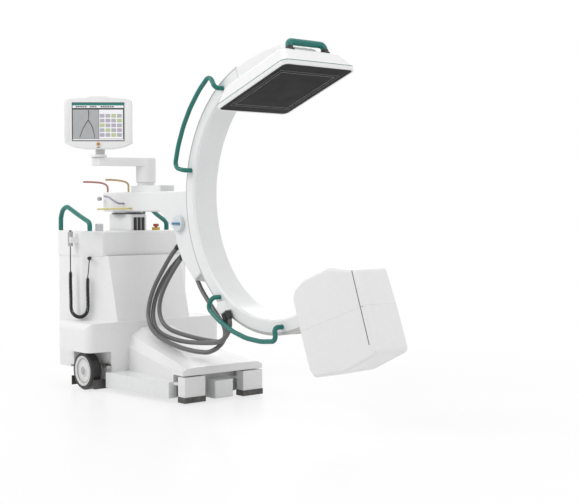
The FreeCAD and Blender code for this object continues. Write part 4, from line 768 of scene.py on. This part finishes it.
class CARM_OT_monitor_trim(Operator):
    """Screen picture, side wings and turn knob of the monitor"""
    bl_idname = "carm.monitor_trim"
    bl_label = "Monitor trim"

    def execute(self, context):
        low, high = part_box("screen")
        out = Vector((math.cos(SCREEN_TURN), math.sin(SCREEN_TURN), 0))
        right = Vector((-out.y, out.x, 0))
        glass_half = 0.0015
        centre = (low + high) / 2 + out * glass_half
        turn = Matrix((right, Vector((0, 0, 1)), out)).transposed().to_4x4()
        on_screen = Matrix.Translation(centre) @ turn
        self.picture(on_screen)
        self.surround(context, on_screen)
        return {"FINISHED"}

    def picture(self, on_screen):
        """A made-up vessel picture with plain cells beside it."""
        width, height = 0.256, 0.187
        left = -width / 2
        thin = 0.0003
        glow = {
            "header": finish("screen header", (0.02, 0.20, 0.17), 0.3, 0.4),
            "image": finish("screen image", (0.42, 0.43, 0.44), 0.3, 0.4, drift=1.0, grain=300.0),
            "pale": finish("screen pale cells", (0.93, 0.92, 0.94), 0.3, 0.4),
            "violet": finish("screen violet cells", (0.48, 0.42, 0.52), 0.3, 0.4),
            "green": finish("screen green cells", (0.52, 0.58, 0.33), 0.3, 0.4),
            "dark": finish("screen dark marks", (0.03, 0.035, 0.04), 0.3, 0.4),
        }
        bars = (
            ("screen_header", "header", 0, height / 2 - 0.006, width, 0.012),
            ("screen_title", "pale", 0, height / 2 - 0.018, width, 0.012),
            ("screen_image", "image", left + 0.066, -0.012, 0.130, 0.146),
            ("screen_desk", "pale", left + 0.193, -0.012, 0.120, 0.146),
            ("screen_footer", "pale", 0, -height / 2 + 0.004, width, 0.006),
        )
        for name, skin, x, y, across, tall in bars:
            form = bmesh.new()
            slab(form, across, tall, thin, middle=(x, y, 0))
            new_piece(name, form, glow[skin], "monitor", on_screen)
        form = bmesh.new()
        for start, count in ((left + 0.020, 5), (left + 0.092, 3), (left + 0.145, 6)):
            for mark in range(count):
                slab(form, 0.0095, 0.0055, thin, middle=(start + mark * 0.0115, height / 2 - 0.018, thin))
        new_piece("screen_marks", form, glow["dark"], "monitor", on_screen)
        form = bmesh.new()
        first_x, first_y, column_pitch, row_pitch = left + 0.148, 0.030, 0.029, 0.024
        for row in range(5):
            for column in range(4):
                slab(form, 0.024, 0.018, thin * 2, corner=0.003,
                     middle=(first_x + column * column_pitch, first_y - row * row_pitch, 0))
        kinds = (0, 1, 2, 1)
        skins = [glow["violet"], finish("screen grey cells", (0.45, 0.46, 0.50), 0.3, 0.4), glow["green"]]
        for face in form.faces:
            middle = face.calc_center_median()
            column = round((middle.x - first_x) / column_pitch)
            row = round((first_y - middle.y) / row_pitch)
            face.material_index = kinds[(row * 3 + column) % 4]
        new_piece("screen_cells", form, skins, "monitor", on_screen)
        form = bmesh.new()
        trunk = left + 0.080
        branches = (
            [(0.0, 0.058), (0.003, 0.030), (-0.002, 0.006)],
            [(-0.002, 0.008), (-0.020, -0.018), (-0.034, -0.046), (-0.045, -0.078)],
            [(-0.002, 0.008), (0.014, -0.014), (0.026, -0.044), (0.030, -0.080)],
        )
        for branch in branches:
            line = followed([Vector((trunk + x, y, 0)) for x, y in branch], 0.004)
            tube(form, line, lambda index: 0.0024 - 0.0010 * index / len(line), sides=6)
        bmesh.ops.scale(form, verts=form.verts, vec=(1, 1, 0.3))
        bmesh.ops.translate(form, verts=form.verts, vec=(0, 0, thin))
        new_piece("screen_vessels", form, glow["dark"], "monitor", on_screen)

    def surround(self, context, on_screen):
        """Painted shadow line along the screen's edge, then wings, knob and slot round the screen."""
        colours = context.scene.carm_colours
        # A thin frame in the seam shadow colour: painted shadow of the gap between the glass and the bezel
        form = bmesh.new()
        line_frame(form, 0.2645, 0.1945, 0.0022, 0.0008, middle=(0, 0, -0.0002))
        new_piece("screen_shadow_line", form, seam(colours), "monitor", on_screen)
        for side, word in ((-1, "left"), (1, "right")):
            form = bmesh.new()
            slab(form, 0.026, 0.196, 0.020, corner=0.004, middle=(side * 0.1575, 0.001, -0.019), edge=0.002)
            new_piece(f"monitor_wing_{word}", form, cover(colours), "monitor", on_screen)
        form = bmesh.new()
        turned(form, [(0.0, 0.0), (0.0085, 0.0), (0.0085, 0.004), (0.007, 0.0075), (0.0, 0.008)], steps=32)
        knob = finish("orange knob", (0.50, 0.22, 0.03), 0.3, 0.4)
        place = on_screen @ Matrix.Translation((0, -0.1115, -0.0015))
        new_piece("monitor_knob", form, knob, "monitor", place)
        form = bmesh.new()
        slab(form, 0.018, 0.0035, 0.0008, corner=0.0015, middle=(0, -0.1275, -0.0002))
        new_piece("monitor_slot", form, dark(colours), "monitor", on_screen)


class CARM_OT_arm_trim(Operator):
    """Locking knob and guide strips of the cross arm and column"""
    bl_idname = "carm.arm_trim"
    bl_label = "Arm trim"

    def execute(self, context):
        colours, sizes = context.scene.carm_colours, context.scene.carm_sizes
        low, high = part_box("arm_housing")
        axis = JOINTS["angulation"]["pos_m"][2]
        form = bmesh.new()
        turned(form, [(0.0, 0.0), (0.010, 0.0), (0.010, 0.003), (0.006, 0.005), (0.006, 0.008),
                      (0.0105, 0.010), (0.0105, 0.017), (0.008, 0.019), (0.0, 0.019)], steps=32)
        turn = Matrix.Rotation(math.radians(90), 4, "X")
        inset, sunk, lift = 0.022, 0.001, 0.016
        place = Matrix.Translation((low.x + inset, low.y + sunk, axis + lift)) @ turn
        new_piece("arm_lock_knob", form, pale_trim(colours), "arm", place)
        low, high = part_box("lift_column")
        strip_width, strip_pitch, share, sunk = 0.020, 0.0235, 0.96, 0.0001
        for side, word in ((-1, "right"), (0, "middle"), (1, "left")):
            form = bmesh.new()
            slab(form, strip_width, (high.z - low.z) * share, sizes.proud, corner=0.002)
            upright = Matrix.Rotation(math.radians(90), 4, "Z") @ Matrix.Rotation(math.radians(90), 4, "X")
            place = Matrix.Translation(
                (high.x - sunk, side * strip_pitch, (high.z + low.z) / 2)) @ upright
            strip = new_piece(f"column_strip_{word}", form, dark(colours), "lift", place)
        return {"FINISHED"}


class CARM_OT_carriage_trim(Operator):
    """Grey wedge at the carriage's lower end: painted shade of the carriage's end face"""
    bl_idname = "carm.carriage_trim"
    bl_label = "Carriage trim"

    def execute(self, context):
        colours = context.scene.carm_colours
        form = bmesh.new()

        def at(radius, degrees):
            turn = math.radians(degrees)
            return radius * math.cos(turn), radius * math.sin(turn)

        half, inner, outer, tip, seat_angle, tip_angle = 0.052, 0.6225, 0.690, 0.6265, 215.8, 221.0
        # The grey trim colour stands in for shade here: the carriage's white end face in shadow, painted
        # darker
        prism(form, [at(inner, seat_angle), at(outer, seat_angle), at(tip, tip_angle)], 2 * half)
        upright = Matrix.Rotation(math.radians(90), 4, "X")
        place = Matrix.Translation(C_CENTRE + Vector((0, half, 0))) @ upright
        new_piece("carriage_end_shade", form, pale_trim(colours), "carrier", place)
        return {"FINISHED"}


class CARM_OT_trolley_trim(Operator):
    """Painted shade line at the foot cover's lip, hub caps and pedal pad"""
    bl_idname = "carm.trolley_trim"
    bl_label = "Trolley trim"

    def execute(self, context):
        colours, sizes = context.scene.carm_colours, context.scene.carm_sizes
        low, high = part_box("foot_cover")
        half_wide, half_long, inset, height, slope = 0.0012, 0.150, 0.052, 0.1746, math.radians(11.0)
        # A thin strip in the seam shadow colour: painted shade along the foot cover's lip
        form = bmesh.new()
        prism(form, [(-half_wide, -half_long), (half_wide, -half_long), (half_wide, half_long),
                     (-half_wide, half_long)], sizes.proud)
        place = Matrix.Translation((high.x - inset, 0, height)) @ Matrix.Rotation(slope, 4, "Y")
        new_piece("foot_lip_shade", form, seam(colours), "trolley", place)
        for name, body, side in (("left", "wheel_left", 1), ("right", "wheel_right", -1)):
            low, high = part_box(f"rear_wheel_{name}")
            middle = (low + high) / 2
            face = high.y if side > 0 else low.y
            form = bmesh.new()
            turned(form, [(0.0, 0.004), (0.016, 0.0032), (0.021, 0.0012), (0.0225, 0.0)], steps=40)
            turned(form, [(0.058, 0.0), (0.0588, 0.0012), (0.0612, 0.0012), (0.062, 0.0)], steps=56)
            turn = Matrix.Rotation(math.radians(-90 * side), 4, "X")
            place = Matrix.Translation((middle.x, face - side * 0.0042, middle.z)) @ turn
            new_piece(f"hub_cap_{name}", form, pale_trim(colours), body, place)
        low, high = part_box("brake_pedal")
        first_rib, rib_pitch, slope = -0.015, 0.0075, math.radians(8.5)
        inset, aside, height = 0.022, 0.0155, 0.130
        form = bmesh.new()
        slab(form, 0.038, 0.026, 0.003, corner=0.004)
        for rib in range(5):
            slab(form, 0.003, 0.022, 0.0045, middle=(first_rib + rib * rib_pitch, 0, 0))
        place = Matrix.Translation((high.x - inset, low.y + aside, height)) @ Matrix.Rotation(slope, 4, "Y")
        new_piece("pedal_pad", form, dark(colours), "pedal", place)
        return {"FINISHED"}


class CARM_OT_studio(Operator):
    """Floor, backdrop, lamps and camera"""
    bl_idname = "carm.studio"
    bl_label = "Studio"

    def execute(self, context):
        self.camera(context.scene)
        self.world(context.scene)
        self.floor(context)
        for name, spot, size, power in (
            ("key_lamp", (-1.6, -3.6, 3.4), 2.6, 84),
            ("front_lamp", (4.2, 0.6, 2.6), 2.4, 34),
            ("top_lamp", (0.4, 0.2, 4.6), 3.4, 42),
            ("rear_lamp", (-3.4, 2.6, 2.6), 2.4, 30),
        ):
            lamp = bpy.data.lights.new(name, "AREA")
            lamp.size = size
            lamp.energy = power
            thing = bpy.data.objects.new(name, lamp)
            thing.location = spot
            aim = Vector((0, 0, 0.8)) - Vector(spot)
            thing.rotation_euler = aim.to_track_quat("-Z", "Y").to_euler()
            context.scene.collection.objects.link(thing)
        context.scene.view_settings.view_transform = "Standard"
        return {"FINISHED"}

    def camera(self, scene):
        lens = bpy.data.cameras.new("camera")
        lens.lens = 72.39
        lens.sensor_width = 36
        eye = bpy.data.objects.new("camera", lens)
        eye.location = (4.3348, -3.2898, 0.9121)
        looking_down, azimuth = 2.235, 49.80
        eye.rotation_euler = (math.radians(90 - looking_down), 0, math.radians(azimuth))
        scene.collection.objects.link(eye)
        scene.camera = eye

    def world(self, scene):
        world = bpy.data.worlds.new("studio")
        world.use_nodes = True
        tree = world.node_tree
        ambient = tree.nodes["Background"]
        ambient.inputs["Color"].default_value = (1, 1, 1, 1)
        ambient.inputs["Strength"].default_value = 0.63
        white = tree.nodes.new("ShaderNodeBackground")
        white.inputs["Color"].default_value = (1, 1, 1, 1)
        seen = seen_rays(tree)
        mix = tree.nodes.new("ShaderNodeMixShader")
        tree.links.new(seen, mix.inputs[0])
        tree.links.new(ambient.outputs[0], mix.inputs[1])
        tree.links.new(white.outputs[0], mix.inputs[2])
        tree.links.new(mix.outputs[0], tree.nodes["World Output"].inputs["Surface"])
        scene.world = world

    def floor(self, context):
        form = bmesh.new()
        bmesh.ops.create_grid(form, x_segments=1, y_segments=1, size=30)
        material = bpy.data.materials.new("pale floor")
        material.use_nodes = True
        tree = material.node_tree
        shader = tree.nodes["Principled BSDF"]
        shader.inputs["Base Color"].default_value = context.scene.carm_colours.floor
        shader.inputs["Roughness"].default_value = 0.28
        white = tree.nodes.new("ShaderNodeEmission")
        place = tree.nodes.new("ShaderNodeTexCoord").outputs["Object"]
        far = tree.nodes.new("ShaderNodeVectorMath")
        far.operation = "LENGTH"
        tree.links.new(place, far.inputs[0])
        fade = spread(tree, far.outputs["Value"], 0.8, 2.6, 0.72, 1.0)
        seen = seen_rays(tree)
        mix = tree.nodes.new("ShaderNodeMixShader")
        tree.links.new(maths(tree, "MULTIPLY", fade, seen), mix.inputs[0])
        tree.links.new(shader.outputs[0], mix.inputs[1])
        tree.links.new(white.outputs[0], mix.inputs[2])
        tree.links.new(mix.outputs[0], tree.nodes["Material Output"].inputs["Surface"])
        ground = new_piece("floor", form, material, None)


class CARM_PT_looks(Panel):
    """Lists the operators and sizes"""
    bl_label = "Mobile C-arm"
    bl_idname = "CARM_PT_looks"
    bl_space_type = "VIEW_3D"
    bl_region_type = "UI"
    bl_category = "C-arm"

    def draw(self, context):
        layout = self.layout
        for group in (context.scene.carm_sizes, context.scene.carm_colours):
            box = layout.box()
            for word in group.__annotations__:
                box.prop(group, word)
        for operator in OPERATORS:
            layout.operator(operator.bl_idname)


OPERATORS = (
    CARM_OT_studio, CARM_OT_finishes, CARM_OT_hoses, CARM_OT_hand_lead, CARM_OT_detector_trim,
    CARM_OT_generator_trim, CARM_OT_monitor_trim, CARM_OT_arm_trim, CARM_OT_carriage_trim,
    CARM_OT_trolley_trim,
)
CLASSES = (StandSizes, StandColours, *OPERATORS, CARM_PT_looks)


def register():
    for one in CLASSES:
        bpy.utils.register_class(one)
    bpy.types.Scene.carm_sizes = PointerProperty(type=StandSizes)
    bpy.types.Scene.carm_colours = PointerProperty(type=StandColours)


def unregister():
    del bpy.types.Scene.carm_sizes
    del bpy.types.Scene.carm_colours
    for one in reversed(CLASSES):
        bpy.utils.unregister_class(one)


def main():
    register()
    bpy.ops.carm.studio()
    bpy.ops.carm.finishes()
    bpy.ops.carm.hoses()
    bpy.ops.carm.hand_lead()
    bpy.ops.carm.detector_trim()
    bpy.ops.carm.generator_trim()
    bpy.ops.carm.monitor_trim()
    bpy.ops.carm.arm_trim()
    bpy.ops.carm.carriage_trim()
    bpy.ops.carm.trolley_trim()


if __name__ == "__main__":
    main()
